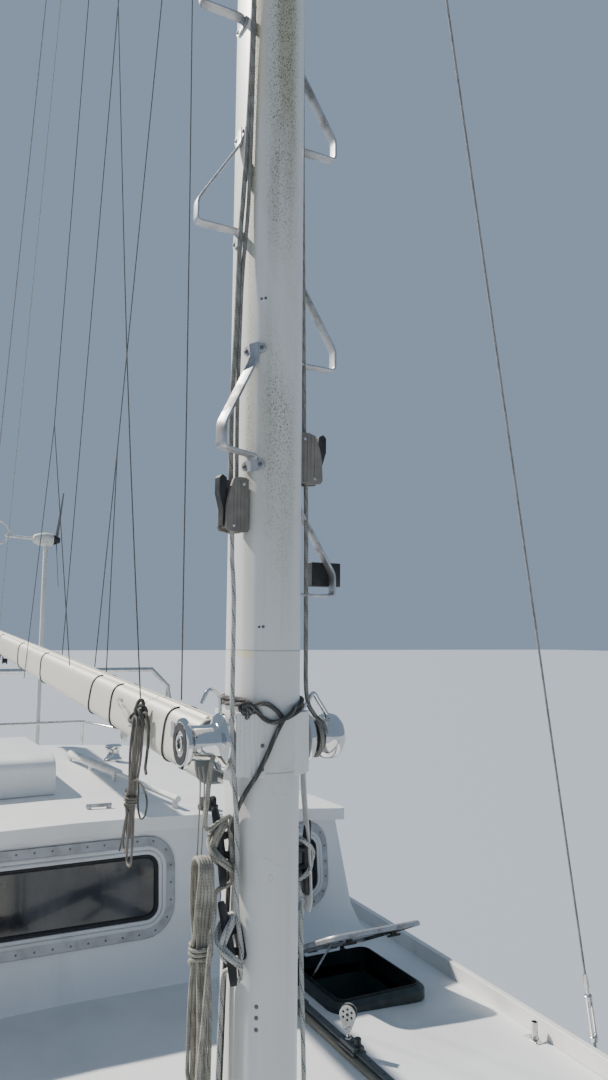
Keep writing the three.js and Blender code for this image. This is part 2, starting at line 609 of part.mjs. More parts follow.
function doorBody() {
  const { inY, sillZ, headZ, thickness, pinRadius } = DOOR;
  const [axisX, axisY] = doorAxis();
  const play = 7;
  const leaf = block([axisX - thickness / 2, axisX + thickness / 2], [inY - play, axisY - 8],
    [sillZ + play, headZ - play]);
  const knuckle = bar([axisX, axisY, sillZ + play], [axisX, axisY, headZ - play], thickness / 2, 12);
  const pin = bar([axisX, axisY, sillZ - 22], [axisX, axisY, headZ + 22], pinRadius, 16);
  return unite([leaf, knuckle, pin]);
}
add('companion_door', doorBody(), 'teak');

// Deck hatches
const HATCH_AXIS_X = HATCH.backX - HATCH.rim - 16;
const HATCH_AXIS_Z = HATCH.topZ + 8;
const HATCH_PIN = 6;
const HATCH_EARS = [0.22, 0.78];
const hatchY = (t, side) => (HATCH.inY + (HATCH.outY - HATCH.inY) * t) * side;

function hatchFrame(side) {
  const { frontX, backX, inY, outY, rim, topZ } = HATCH;
  const outer = block([backX - rim, frontX + rim], [(inY - rim) * side, (outY + rim) * side], [1080, topZ]);
  const ears = HATCH_EARS.map((t) => {
    const y = hatchY(t, side);
    const foot = block([HATCH_AXIS_X - 12, backX - rim + 10], [y - 7, y + 7], [1080, topZ - 4]);
    const eye = bar([HATCH_AXIS_X, y - 7, HATCH_AXIS_Z], [HATCH_AXIS_X, y + 7, HATCH_AXIS_Z], 13, 12);
    return foot.add(block([HATCH_AXIS_X - 12, HATCH_AXIS_X + 12], [y - 7, y + 7], [1150, topZ + 2])).add(eye);
  });
  const eyeHole = bar([HATCH_AXIS_X, inY * side, HATCH_AXIS_Z], [HATCH_AXIS_X, outY * side, HATCH_AXIS_Z],
    HATCH_PIN + PIN_PLAY, 16);
  return onDeck(unite([outer, ...ears]).subtract(hatchWell(side))).subtract(eyeHole);
}

function hatchLid(side) {
  const { frontX, backX, inY, outY, rim, topZ, lid } = HATCH;
  const base = topZ + FIT_GAP;
  const plate = block([HATCH_AXIS_X + 22, frontX + rim + 8], [(inY - rim) * side, (outY + rim) * side],
    [base, base + lid]);
  const lug = block([HATCH_AXIS_X - 4, HATCH_AXIS_X + 40], [hatchY(0.3, side), hatchY(0.7, side)],
    [base + 2, base + lid - 6]);
  const barrel = bar([HATCH_AXIS_X, hatchY(0.3, side), HATCH_AXIS_Z], [HATCH_AXIS_X, hatchY(0.7, side), HATCH_AXIS_Z],
    11, 12);
  const pin = bar([HATCH_AXIS_X, hatchY(0.15, side), HATCH_AXIS_Z], [HATCH_AXIS_X, hatchY(0.85, side), HATCH_AXIS_Z],
    HATCH_PIN, 16);
  return unite([plate, lug, barrel, pin]).translate([-HATCH_AXIS_X, 0, -HATCH_AXIS_Z]);
}

for (const [name, side] of SIDES) {
  add(`hatch_frame_${name}`, hatchFrame(side), 'dark');
  const lid = add(`hatch_lid_${name}`, hatchLid(side), 'smoked');
  lid.position.set(HATCH_AXIS_X, 0, HATCH_AXIS_Z);
  if (side > 0) lid.rotation.y = -THREE.MathUtils.degToRad(HATCH.openAngle);
}

// Sheet tracks with their cars and lead blocks
function trackBody(side) {
  const { y, frontX, backX, width, height } = TRACK;
  const topZ = deckZ(frontX, y) + height;
  const rail = block([backX, frontX], [(y - width / 2) * side, (y + width / 2) * side], [1080, topZ]);
  const car = block([690, 800], [(y - 30) * side, (y + 30) * side], [topZ - 12, topZ + 16]);
  const outline = new THREE.Shape();
  outline.moveTo(-38, 0);
  outline.lineTo(38, 0);
  outline.lineTo(30, 40);
  outline.quadraticCurveTo(22, 92, 0, 92);
  outline.quadraticCurveTo(-22, 92, -30, 40);
  const cheeks = extrude(outline, 26, 5).rotateX(Math.PI / 2).translate(745, y * side + 13, topZ + 10);
  const stop = bar([620, y * side, topZ - 4], [620, y * side, topZ + 24], 12, 10);
  return onDeck(unite([rail, car, solid(cheeks), stop]));
}
for (const [name, side] of SIDES) add(`sheet_track_${name}`, trackBody(side), 'alloy');

// Mast with its steps, winch pads, cleats and gooseneck fork
function mastRing(z, scale = 1) {
  return Array.from({ length: MAST.facets }, (_, i) => {
    const angle = (i / MAST.facets) * 2 * Math.PI;
    const [c, s] = [Math.cos(angle), Math.sin(angle)];
    const x = (MAST.long / 2) * scale * Math.sign(c) * Math.abs(c) ** MAST.power;
    const y = (MAST.wide / 2) * scale * Math.sign(s) * Math.abs(s) ** MAST.power;
    return [MAST.x + x, y, z];
  });
}

// A place on the mast's wall, forward of its middle: its axes point out of the wall, up, and along the wall
function mastSeat(forward, side, z, sunk = 0) {
  const power = 2 / MAST.power;
  const [a, b] = [MAST.long / 2, MAST.wide / 2];
  const y = b * (1 - (forward / a) ** power) ** (1 / power);
  const normal = [(forward / a) ** (power - 1) / a, (side * (y / b) ** (power - 1)) / b, 0];
  const out = new THREE.Vector3(...normal).normalize();
  const up = new THREE.Vector3(0, 0, 1);
  const seat = new THREE.Vector3(MAST.x + forward, y * side, z).addScaledVector(out, -sunk);
  return new THREE.Matrix4().makeBasis(out, up, out.clone().cross(up)).setPosition(seat);
}

function mastStep(z, side, forward) {
  const { reach, rise, nose } = MAST_STEP;
  const { width, thick } = STRAP;
  const shape = new THREE.Shape();
  shape.setFromPoints([[0, 0], [reach, 0], [reach, nose], [0, rise]].map(([y, h]) => new THREE.Vector2(y, h)));
  const hole = new THREE.Path();
  hole.setFromPoints([[thick, thick], [reach - thick, thick], [reach - thick, nose - 4], [thick, rise - 22]]
    .map(([y, h]) => new THREE.Vector2(y, h)));
  shape.holes.push(hole);
  const step = extrude(shape, width).translate(0, 0, -width / 2);
  return solid(step.applyMatrix4(mastSeat(forward, side, z, 4)));
}

function winchPad(side) {
  const { z, padHeight } = WINCH;
  const outline = [...WINCH_PAD, ...WINCH_PAD.map(([x, y]) => [-x, y]).reverse()];
  const ring = (height) => outline.map(([x, y]) => [MAST.x + x, y * side, height]);
  return solid(loft([ring(z - padHeight / 2), ring(z + padHeight / 2)]));
}

const WINCH_Y = WINCH_PAD[0][1];

function winchSpindle(side) {
  return bar([MAST.x, (WINCH_Y - 5) * side, WINCH.z], [MAST.x, (WINCH_Y + 60) * side, WINCH.z], 14, 16);
}

function hornCleat([side, z, forward, tilt]) {
  const stem = new THREE.BoxGeometry(HORN.out + 8, 60, 24).translate(HORN.out / 2 - 8, 0, 0);
  const horns = new THREE.CylinderGeometry(HORN.radius, HORN.radius, 2 * HORN.half, 8).translate(HORN.out, 0, 0);
  const lean = THREE.MathUtils.degToRad(tilt) * -side;
  return unite([stem, horns].map((piece) => solid(piece.rotateX(lean).applyMatrix4(mastSeat(forward, side, z)))));
}

function gooseneckFork() {
  const { x, z, plate, gap, pinRadius, half } = GOOSENECK;
  const mastBack = MAST.x - MAST.long / 2 + 12;
  const plates = [-1, 1].map((end) => block([x - half, mastBack], [-half, half],
    [z + end * (gap / 2), z + end * (gap / 2 + plate)]));
  const pin = bar([x, 0, z - gap / 2 - plate - 8], [x, 0, z + gap / 2 + plate + 8], pinRadius, 16);
  return unite([...plates, pin]);
}

function mastBody() {
  const foot = block([MAST.x - 170, MAST.x + 170], [-125, 125], [1100, deckZ(MAST.x, 0) + 16]);
  const pole = solid(loft([mastRing(MAST.footZ), mastRing(MAST.taperZ), mastRing(MAST.topZ, 0.72)]));
  const crane = block([MAST.x - 210, MAST.x + 150], [-26, 26], [MAST.topZ - 10, MAST.topZ + 60]);
  const tang = block([MAST.x + 90, MAST.x + 150], [-9, 9], [INNER_STAY_Z, INNER_STAY_Z + 50]);
  const clear = ([z]) => SPREADERS.every(([, s]) => z > s + 60 || z + MAST_STEP.rise < s - 60);
  const steps = Array.from({ length: MAST_STEP.count }, (_, i) => i * MAST_STEP.pitch)
    .flatMap((z) => [[MAST_STEP.starboardZ + z, -1, z === 0 ? LOW_STEP_FORWARD : 0], [MAST_STEP.portZ + z, 1, 0]])
    .filter(clear).map(([z, side, forward]) => mastStep(z, side, forward));
  const fittings = SIDES.flatMap(([, side]) => [winchPad(side), winchSpindle(side)]);
  const cleats = MAST_CLEATS.map(hornCleat);
  return onDeck(unite([foot, pole, crane, tang, gooseneckFork(), ...steps, ...fittings, ...cleats]));
}
add('mast', mastBody(), 'paint');

function winchDrum(side) {
  const { z, base, drum, length } = WINCH;
  const profile = [[14.9, 5.5], [base, 5.5], [base, 20], [drum + 3, 30], [drum, 52], [drum + 3, 74],
    [base * 0.86, 84], [base * 0.86, length - 8], [base * 0.72, length], [20, length], [20, length - 30],
    [14.9, length - 30]];
  const points = profile.map(([r, h]) => new THREE.Vector2(r, h));
  const turned = new THREE.LatheGeometry([...points, points[0]], 16);
  if (side < 0) turned.rotateX(Math.PI);
  return solid(turned.translate(MAST.x, WINCH_Y * side, z));
}
for (const [name, side] of SIDES) add(`mast_winch_${name}`, winchDrum(side), 'steel');

// Rope clutches on the mast's sides
const CLUTCH = { width: 38, depth: 70, height: 132, lever: 26, leverFrom: 10, leverTo: 126, reach: 84 };
for (const [name, side, z, forward] of CLUTCHES) {
  const { width, depth, height, lever, leverFrom, leverTo, reach } = CLUTCH;
  const body = new THREE.BoxGeometry(depth, height, width).translate(depth / 2, height / 2, 0);
  const arm = new THREE.BoxGeometry(reach - depth + 4, leverTo - leverFrom, lever)
    .translate((reach + depth - 4) / 2, (leverFrom + leverTo) / 2, 0);
  const seat = mastSeat(forward, side, z, -FIT_GAP);
  add(`rope_clutch_${name}`, placed(body, seat).add(placed(arm, seat)), 'composite');
}

// Boom
function boomBody() {
  const { endX, height, width, rise, capX } = BOOM;
  const { x, z, pinRadius } = GOOSENECK;
  const slope = Math.tan(THREE.MathUtils.degToRad(rise));
  const centreZ = (at) => z + (x - at) * slope;
  const ring = (at, scale) => Array.from({ length: 16 }, (_, i) => {
    const angle = (i / 16) * 2 * Math.PI;
    const [c, s] = [Math.cos(angle), Math.sin(angle)];
    const y = (width / 2) * scale * Math.sign(c) * Math.abs(c) ** 0.6;
    const up = (height / 2) * scale * Math.sign(s) * Math.abs(s) ** 0.6;
    return [at, y, centreZ(at) + up];
  });
  const spar = solid(loft([ring(endX, 0.86), ring(endX + 14, 1), ring(capX - 14, 1), ring(capX, 0.86)]));
  const tongue = block([capX - 30, x], [-24, 24], [z - 34, z + 34]);
  const eye = bar([x, 0, z - 34], [x, 0, z + 34], 24, 16);
  const bore = bar([x, 0, z - 60], [x, 0, z + 60], pinRadius + PIN_PLAY, 16);
  return unite([spar, tongue, eye]).subtract(bore);
}
add('boom', boomBody(), 'cream');

// Spreaders: a collar round the mast carries both arms of a pair
const spreaderTip = ([, z, half, sweep], side) => [MAST.x - sweep, half * side, z + 40];

function spreaderPair(row) {
  const [, z] = row;
  const grow = (scale) => mastRing(0, scale).map(([x, y]) => [x, y]);
  const outer = solid(loft([z - 45, z + 45].map((h) => grow(1.16).map(([x, y]) => [x, y, h]))));
  const hole = solid(loft([z - 60, z + 60].map((h) => mastRing(h, 1 + (2 * FIT_GAP) / MAST.wide * 1.3))));
  const arms = SIDES.map(([, side]) => {
    const tip = spreaderTip(row, side);
    return bar([MAST.x, 60 * side, z], tip, 34, 10, 17);
  });
  return unite([outer, ...arms]).subtract(hole);
}
for (const row of SPREADERS) add(`spreaders_${row[0]}`, spreaderPair(row), 'paint');

// Standing rigging
function screwed(from, to) {
  const start = new THREE.Vector3(...from);
  const run = new THREE.Vector3(...to).sub(start).normalize();
  const at = (d) => start.clone().addScaledVector(run, d).toArray();
  return unite([bar(from, to, WIRE, 6), bar(at(40), at(40 + SCREW.length), SCREW.radius, 8)]);
}

// Chainplates and wires of one side: deck x, attachment on the mast
const LOWERS = [[740, MAST.x - 70, 8500], [2150, MAST.x + 70, 8500]];

function shroudSet(side) {
  const plateY = (x) => halfBeam(x) + CHAINPLATE.out;
  const [aftX, foreX] = [LOWERS[0][0], LOWERS[1][0]];
  const ring = (x, z0, z1) => {
    const inner = halfBeam(x) - 20;
    const points = [[inner, z0], [plateY(x) + 10, z0], [plateY(x) + 10, z1], [inner, z1]];
    const ordered = side > 0 ? points : points.map(([y, z]) => [-y, z]).reverse();
    return ordered.map(([y, z]) => [x, y, z]);
  };
  const xs = [aftX - 60, 1100, MAST.x, 1800, foreX + 60];
  const channel = solid(loft(xs.map((x) => ring(x, sheer(x) - CHAINPLATE.low, sheer(x) - CHAINPLATE.high))));
  const topSide = hullBlank.translate([0, FIT_GAP * side, 0]);
  const footZ = (x) => sheer(x) - CHAINPLATE.high - 8;
  const capFoot = [MAST.x - 30, plateY(MAST.x) * side, footZ(MAST.x)];
  const tips = SPREADERS.map((row) => {
    const [x, y, z] = spreaderTip(row, side);
    return [x, y + (WIRE + 12) * side, z];
  });
  const mastHead = [MAST.x, (MAST.wide / 2 * 0.74 + WIRE) * side, MAST.topZ - 120];
  const cap = [screwed(capFoot, tips[0]), bar(tips[0], tips[1], WIRE, 6), bar(tips[1], mastHead, WIRE, 6)];
  const lowers = LOWERS.map(([x, mastX, z]) => {
    const mastSide = (MAST.wide / 2 - 4) * side;
    return screwed([x, plateY(x) * side, footZ(x)], [mastX, mastSide, z]);
  });
  const mastCutter = solid(loft([mastRing(6500, 1.006), mastRing(MAST.taperZ, 1.006), mastRing(MAST.topZ, 0.726)]));
  return unite([channel, ...cap, ...lowers]).subtract(topSide).subtract(mastCutter);
}
for (const [name, side] of SIDES) add(`shrouds_${name}`, shroudSet(side), 'steel');

const bowPlateZ = deckZ(6000, 0) + 34;
const STAY_EAR = 52;

// Stays: name, foot, head under the mast crane or a tang
const STAYS = [
  ['forestay', [6290, 0, bowPlateZ + STAY_EAR + 2], [MAST.x + 135, 0, MAST.topZ - 12]],
  ['inner_forestay', [4330, 0, deckZ(4330, 0) - 10], [MAST.x + MAST.long / 2 + 18, 0, INNER_STAY_Z - 2]],
  ['backstay', [-6330, 0, deckZ(-6330, 0) - 10], [MAST.x - 195, 0, MAST.topZ - 12.8]],
];
for (const [name, from, to] of STAYS) add(name, onDeck(screwed(from, to)), 'steel');

// Bow fitting, anchor, windlass and locker lid
function bowFitting() {
  const { frontX, backX, half, plate, cheek, rollerRadius } = BOW_FITTING;
  const base = block([backX, frontX - 40], [-half, half], [bowPlateZ, bowPlateZ + plate]);
  const pad = block([backX, 6350], [-28, 28], [bowPlateZ - 50, bowPlateZ + 2]);
  const cheeks = [-1, 1].map((s) => block([6250, frontX], [(half - plate) * s, half * s],
    [bowPlateZ, bowPlateZ + cheek]));
  const roller = bar([6700, -half + 2, bowPlateZ + 62], [6700, half - 2, bowPlateZ + 62], rollerRadius, 16);
  const stayEar = block([6250, 6330], [-6, 6], [bowPlateZ, bowPlateZ + STAY_EAR]);
  return onDeck(unite([base, pad, ...cheeks, roller, stayEar]));
}
add('bow_fitting', bowFitting(), 'steel');

function anchorBody() {
  const rollerTop = bowPlateZ + 62 + BOW_FITTING.rollerRadius + FIT_GAP;
  const shank = block([6345, 6960], [-11, 11], [rollerTop, rollerTop + 50]);
  const drop = new THREE.Shape();
  drop.moveTo(6880, rollerTop + 50);
  drop.lineTo(6960, rollerTop + 50);
  drop.lineTo(7010, rollerTop - 235);
  drop.lineTo(6950, rollerTop - 235);
  const neck = solid(extrude(drop, 22).rotateX(Math.PI / 2).translate(0, 11, 0));
  const fluke = solid(loft([
    [[7030, -150, rollerTop - 300], [7030, 150, rollerTop - 300], [7040, 0, rollerTop - 150]],
    [[6800, -2, rollerTop - 400], [6800, 2, rollerTop - 400], [6800, 0, rollerTop - 392]],
  ].map((ring) => ring.reverse())));
  return unite([shank, neck, fluke]);
}
add('anchor', anchorBody(), 'steel');

function windlassBody() {
  const z = deckZ(5450, 0);
  const base = block([5330, 5570], [-90, 90], [z - 40, z + 40]);
  const motor = bar([5450, 0, z + 20], [5450, 0, z + 150], 72, 16, 60);
  const gypsy = bar([5450, -165, z + 95], [5450, 165, z + 95], 46, 14);
  return onDeck(unite([base, motor, gypsy]));
}
add('windlass', windlassBody(), 'steel');

function lidPanel([x0, x1], [y0, y1], z, thickness) {
  const inset = 3;
  const shape = roundedRectangle(Math.abs(x1 - x0), Math.abs(y1 - y0), 30, 3);
  return extrude(shape, thickness - inset).translate((x0 + x1) / 2, (y0 + y1) / 2, z);
}
add('anchor_locker_lid', lidPanel([LOCKER.backX, LOCKER.frontX], [-LOCKER.half, LOCKER.half],
  LOCKER.topZ + FIT_GAP, LOCKER.lid), 'paint');
for (const [name, side] of SIDES) {
  add(`seat_lid_${name}`, lidPanel([SEAT_LID.backX, SEAT_LID.frontX], [SEAT_LID.inY * side, SEAT_LID.outY * side],
    COCKPIT.seatZ + FIT_GAP, SEAT_LID.thickness), 'teak');
}

// Pulpit at the bow and arch at the stern
function pulpitBody() {
  const { tube: r, height } = PULPIT;
  const legX = [4950, 5650, 6120];
  const inset = 130;
  const foot = (x, side) => [x, Math.max(halfBeam(x) - inset, 90) * side, deckZ(x, halfBeam(x) - inset) - 30];
  const top = (x, side) => {
    const [, y] = foot(x, side);
    return [x + 60, y + 20 * side, deckZ(legX[0], 0) + height];
  };
  const nose = [6380, 0, deckZ(legX[0], 0) + height + 10];
  const halfway = (x, side) => foot(x, side).map((v, k) => (v + top(x, side)[k]) / 2);
  const hoop = tube([foot(legX[0], 1), top(legX[0], 1), top(legX[1], 1), top(legX[2], 1), nose,
    top(legX[2], -1), top(legX[1], -1), top(legX[0], -1), foot(legX[0], -1)], r);
  const parts = SIDES.flatMap(([, side]) => [
    ...legX.slice(1).map((x) => bar(foot(x, side), top(x, side), r, 8)),
    tube(legX.map((x) => halfway(x, side)), r * 0.8),
  ]).concat(hoop);
  return onDeck(unite(parts));
}
add('pulpit', pulpitBody(), 'steel');

function archBody() {
  const { tube: r, x, half, topZ, railX, railY, railZ } = ARCH;
  const footZ = deckZ(x, half) - 30;
  const [lean, bend] = [90, 160];
  const hoop = tube([[x - 300, half, footZ], [x, half - 20, topZ - bend], [x, half - 20 - bend, topZ],
    [x, -(half - 20 - bend), topZ], [x, -(half - 20), topZ - bend], [x - 300, -half, footZ]], r);
  const props = SIDES.map(([, side]) => tube([[x + 420, (half + lean) * side, footZ],
    [x, (half - 20) * side, topZ - bend]], r * 0.8));
  const braces = SIDES.map(([, side]) => bar([x - 80, (half - 14) * side, railZ], [railX, railY * side, railZ],
    r * 0.8, 8));
  const posts = SIDES.map(([, side]) => tube([[railX, railY * side, deckZ(railX, railY) - 30],
    [railX, railY * side, railZ]], r * 0.8));
  const across = bar([railX, -railY, railZ], [railX, railY, railZ], r * 0.8, 8);
  return onDeck(unite([hoop, ...props, ...braces, ...posts, across]));
}
add('stern_arch', archBody(), 'steel');

// Steering pedestal and wheel
function pedestalBody() {
  const { x, hubZ, wheelX } = PEDESTAL;
  const { soleZ } = COCKPIT;
  const foot = block([x - 110, x + 110], [-110, 110], [soleZ + FIT_GAP, soleZ + 24]);
  const column = bar([x, 0, soleZ + 10], [x, 0, hubZ + 60], 72, 16, 58);
  const bowl = bar([x, 0, hubZ + 40], [x, 0, hubZ + 150], 80, 16, 92);
  const boss = bar([x, 0, hubZ], [wheelX + 45, 0, hubZ], 38, 16);
  const bore = bar([wheelX + 160, 0, hubZ], [wheelX - 20, 0, hubZ], 14 + PIN_PLAY, 16);
  return unite([foot, column, bowl, boss]).subtract(bore);
}
add('pedestal', pedestalBody(), 'paint');

function wheelBody() {
  const { hubZ, wheelX, wheelRadius, rimRadius, spokes } = PEDESTAL;
  const rim = new THREE.TorusGeometry(wheelRadius, rimRadius, 6, 24).rotateY(Math.PI / 2);
  const hub = bar([wheelX - 26, 0, hubZ], [wheelX + 30, 0, hubZ], 46, 16);
  const axle = bar([wheelX, 0, hubZ], [wheelX + 150, 0, hubZ], 14, 16);
  const arms = Array.from({ length: spokes }, (_, i) => {
    const angle = (i / spokes) * 2 * Math.PI;
    const end = [wheelX, wheelRadius * Math.sin(angle), hubZ + wheelRadius * Math.cos(angle)];
    return bar([wheelX, 0, hubZ], end, 8, 6);
  });
  return unite([solid(rim.translate(wheelX, 0, hubZ)), hub, axle, ...arms]);
}
add('steering_wheel', wheelBody(), 'steel');

// Cockpit winches on the coamings
for (const [name, side] of SIDES) {
  const y = ((COCKPIT.seatHalf + COAMING.half) / 2) * side;
  const profile = [[0, FIT_GAP], [58, FIT_GAP], [58, 20], [44, 40], [40, 72], [44, 100], [56, 112], [56, 128],
    [36, 138], [0, 138]];
  const turned = new THREE.LatheGeometry(profile.map(([r, h]) => new THREE.Vector2(r, h)), 16);
  turned.rotateX(Math.PI / 2).translate(COCKPIT_WINCH_X, y, COAMING.topZ);
  add(`cockpit_winch_${name}`, solid(turned), 'steel');
}

// Wind generator on its pole
function polePiece() {
  const { x, y, poleRadius, poleTop } = WINDMILL;
  const pole = bar([x, y, deckZ(x, y) - 30], [x, y, poleTop], poleRadius, 14);
  const flange = bar([x, y, deckZ(x, y) - 30], [x, y, deckZ(x, y) + 14], 70, 16);
  const spigot = bar([x, y, poleTop - 10], [x, y, poleTop + 60], 14, 16);
  return onDeck(unite([pole, flange, spigot]));
}
add('wind_generator_pole', polePiece(), 'paint');

function generatorHead() {
  const { x, y, hubZ, poleTop } = WINDMILL;
  const collar = bar([x, y, poleTop + FIT_GAP], [x, y, hubZ], 30, 14);
  const profile = [[0, -150], [48, -130], [72, -60], [78, 20], [64, 78], [0, 78]];
  const pod = new THREE.LatheGeometry(profile.map(([r, h]) => new THREE.Vector2(r, h)), 14);
  const podSolid = solid(pod.translate(x, y, hubZ));
  const boom = bar([x, y - 100, hubZ], [x, y - 430, hubZ + 20], 16, 10);
  const fin = new THREE.TorusGeometry(130, 13, 5, 14).rotateY(Math.PI / 2).translate(x, y - 520, hubZ + 50);
  const spindle = bar([x, y + 70, hubZ], [x, y + 118, hubZ], 11, 12);
  const socket = bar([x, y, poleTop - 20], [x, y, poleTop + 66], 14 + PIN_PLAY, 16);
  return unite([collar, podSolid, boom, solid(fin), spindle]).subtract(socket);
}
add('wind_generator_head', generatorHead(), 'composite');

function generatorRotor() {
  const { x, y, hubZ, radius, blades } = WINDMILL;
  const hub = bar([x, y + 84, hubZ], [x, y + 150, hubZ], 58, 18, 30);
  const bore = bar([x, y + 60, hubZ], [x, y + 122, hubZ], 11 + PIN_PLAY, 12);
  const leaves = Array.from({ length: blades }, (_, i) => {
    const blade = solid(loft([
      [[-34, -9, 30], [34, 9, 30], [30, 14, 30], [-34, -3, 30]],
      [[-26, -5, 200], [40, 7, 200], [36, 11, 200], [-26, -1, 200]],
      [[-12, -2, radius], [14, 2, radius], [12, 6, radius], [-12, 2, radius]],
    ]));
    return blade.rotate([0, 35 + (i * 360) / blades, 0]).translate([x, y + 108, hubZ]);
  });
  return unite([hub, ...leaves]).subtract(bore);
}
add('wind_generator_rotor', generatorRotor(), 'dark');

// Rope hanks that hang from the mast cleats and from the boom
function hankBody(top, length, width, thick) {
  const shape = roundedRectangle(width, length, Math.min(width / 2 - 2, 55), 5);
  const geometry = extrude(shape, thick).translate(0, -length / 2, -thick / 2).rotateX(Math.PI / 2);
  return geometry.translate(...top);
}
const HANK = { length: 640, width: 110, thick: 60 };
const [, hankZ, hankForward] = MAST_CLEATS[0];
const hankSeat = new THREE.Vector3(HORN.out, 0, 0).applyMatrix4(mastSeat(hankForward, -1, hankZ));
const hankY = hankSeat.y - HORN.radius - FIT_GAP - HANK.thick / 2;
add('halyard_hank', hankBody([hankSeat.x, hankY, hankZ], HANK.length, HANK.width, HANK.thick), 'rope');
const BOOM_HANK = { x: 625, topZ: 2565, length: 520, width: 190, thick: 50 };
const boomHankY = -BOOM.width / 2 - FIT_GAP - BOOM_HANK.thick / 2;
add('boom_hank', hankBody([BOOM_HANK.x, boomHankY, BOOM_HANK.topZ], BOOM_HANK.length, BOOM_HANK.width,
  BOOM_HANK.thick), 'rope');

export default yacht;
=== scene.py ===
"""Sailing yacht with a pilothouse: its finishes, fittings, wires and ropes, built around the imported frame.

Metres. +X is forward, +Y is port, +Z is up. The origin is amidships, on the centreline, at the waterline.
"""

from __future__ import annotations

import json
import logging
import random
from collections.abc import Callable, Iterable, Sequence
from dataclasses import dataclass
from enum import Enum
from math import atan2, copysign, cos, exp, hypot, pi, radians, sin, tan, tau

import bmesh
import bpy
from mathutils import Euler, Matrix, Vector
from mathutils.geometry import tessellate_polygon

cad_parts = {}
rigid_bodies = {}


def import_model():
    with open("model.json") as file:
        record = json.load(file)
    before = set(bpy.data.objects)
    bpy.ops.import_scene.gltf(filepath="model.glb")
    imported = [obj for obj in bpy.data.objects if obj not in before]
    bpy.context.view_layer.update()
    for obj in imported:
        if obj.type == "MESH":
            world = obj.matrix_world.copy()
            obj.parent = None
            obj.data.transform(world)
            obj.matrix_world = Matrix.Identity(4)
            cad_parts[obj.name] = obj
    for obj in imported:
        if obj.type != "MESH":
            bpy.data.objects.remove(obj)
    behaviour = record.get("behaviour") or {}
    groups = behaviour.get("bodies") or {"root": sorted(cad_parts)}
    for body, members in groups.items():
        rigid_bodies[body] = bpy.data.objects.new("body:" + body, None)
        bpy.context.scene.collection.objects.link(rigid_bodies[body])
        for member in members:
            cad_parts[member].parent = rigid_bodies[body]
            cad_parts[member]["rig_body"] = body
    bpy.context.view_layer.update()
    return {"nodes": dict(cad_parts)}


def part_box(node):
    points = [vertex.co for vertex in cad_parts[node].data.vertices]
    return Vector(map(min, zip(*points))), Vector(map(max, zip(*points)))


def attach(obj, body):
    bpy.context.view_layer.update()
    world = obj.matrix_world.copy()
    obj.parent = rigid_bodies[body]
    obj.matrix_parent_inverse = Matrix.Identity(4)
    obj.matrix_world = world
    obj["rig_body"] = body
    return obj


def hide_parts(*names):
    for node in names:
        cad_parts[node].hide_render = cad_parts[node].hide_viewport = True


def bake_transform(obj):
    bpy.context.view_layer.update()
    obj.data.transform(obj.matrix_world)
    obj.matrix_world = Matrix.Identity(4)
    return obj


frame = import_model()
LOG = logging.getLogger("yacht")

Colour = tuple[float, float, float]
Pair = tuple[float, float]
Point = tuple[float, float, float]
UP = Vector((0, 0, 1))
FORWARD = Vector((1, 0, 0))
PORT = Vector((0, 1, 0))


class Side(Enum):
    """The two sides of the boat, with the sign of their Y."""

    PORT = ("port", 1)
    STARBOARD = ("starboard", -1)

    @property
    def label(self) -> str:
        """The side's name in a piece's name."""
        return self.value[0]

    @property
    def sign(self) -> int:
        """1 to port, -1 to starboard."""
        return self.value[1]


# Outlines, routes and frames


def basis(origin: Sequence[float], out: Sequence[float], up: Sequence[float] = UP) -> Matrix:
    """A frame whose third axis points along out and whose second axis leans towards up.

    Args:
        origin: the frame's place.
        out: direction of its third axis.
        up: direction that its second axis leans towards.

    Returns:
        The frame's matrix.
    """
    z = Vector(out).normalized()
    x = Vector(up).cross(z).normalized()
    made = Matrix((x, z.cross(x), z)).transposed().to_4x4()
    made.translation = Vector(origin)
    return made


def moved(x: float, y: float, z: float) -> Matrix:
    """The main frame moved to a place."""
    return Matrix.Translation((x, y, z))


def circle(radius: float, sides: int = 12) -> list[Pair]:
    """A round outline."""
    return [(radius * cos(tau * i / sides), radius * sin(tau * i / sides)) for i in range(sides)]


def rounded(width: float, height: float, corner: float, steps: int = 5) -> list[Pair]:
    """A rectangle with round corners, anticlockwise.

    Args:
        width: its size along the first axis.
        height: its size along the second axis.
        corner: radius of the corners.
        steps: straight pieces in each corner.

    Returns:
        The outline's points.
    """
    outline = []
    for quarter, (sx, sy) in enumerate(((1, 1), (-1, 1), (-1, -1), (1, -1))):
        middle = (sx * (width / 2 - corner), sy * (height / 2 - corner))
        for i in range(steps + 1):
            angle = (quarter + i / steps) * pi / 2
            outline.append((middle[0] + corner * cos(angle), middle[1] + corner * sin(angle)))
    return outline


def superellipse(long: float, wide: float, power: float, sides: int) -> list[Pair]:
    """A spar's section: an ellipse filled out or drawn in by a power.

    Args:
        long: half its first size.
        wide: half its second size.
        power: exponent of sine and cosine, 1 for an ellipse and less for a squarer one.
        sides: number of points.

    Returns:
        The outline's points.
    """
    outline = []
    for i in range(sides):
        c, s = cos(tau * i / sides), sin(tau * i / sides)
        outline.append((long * copysign(abs(c) ** power, c), wide * copysign(abs(s) ** power, s)))
    return outline


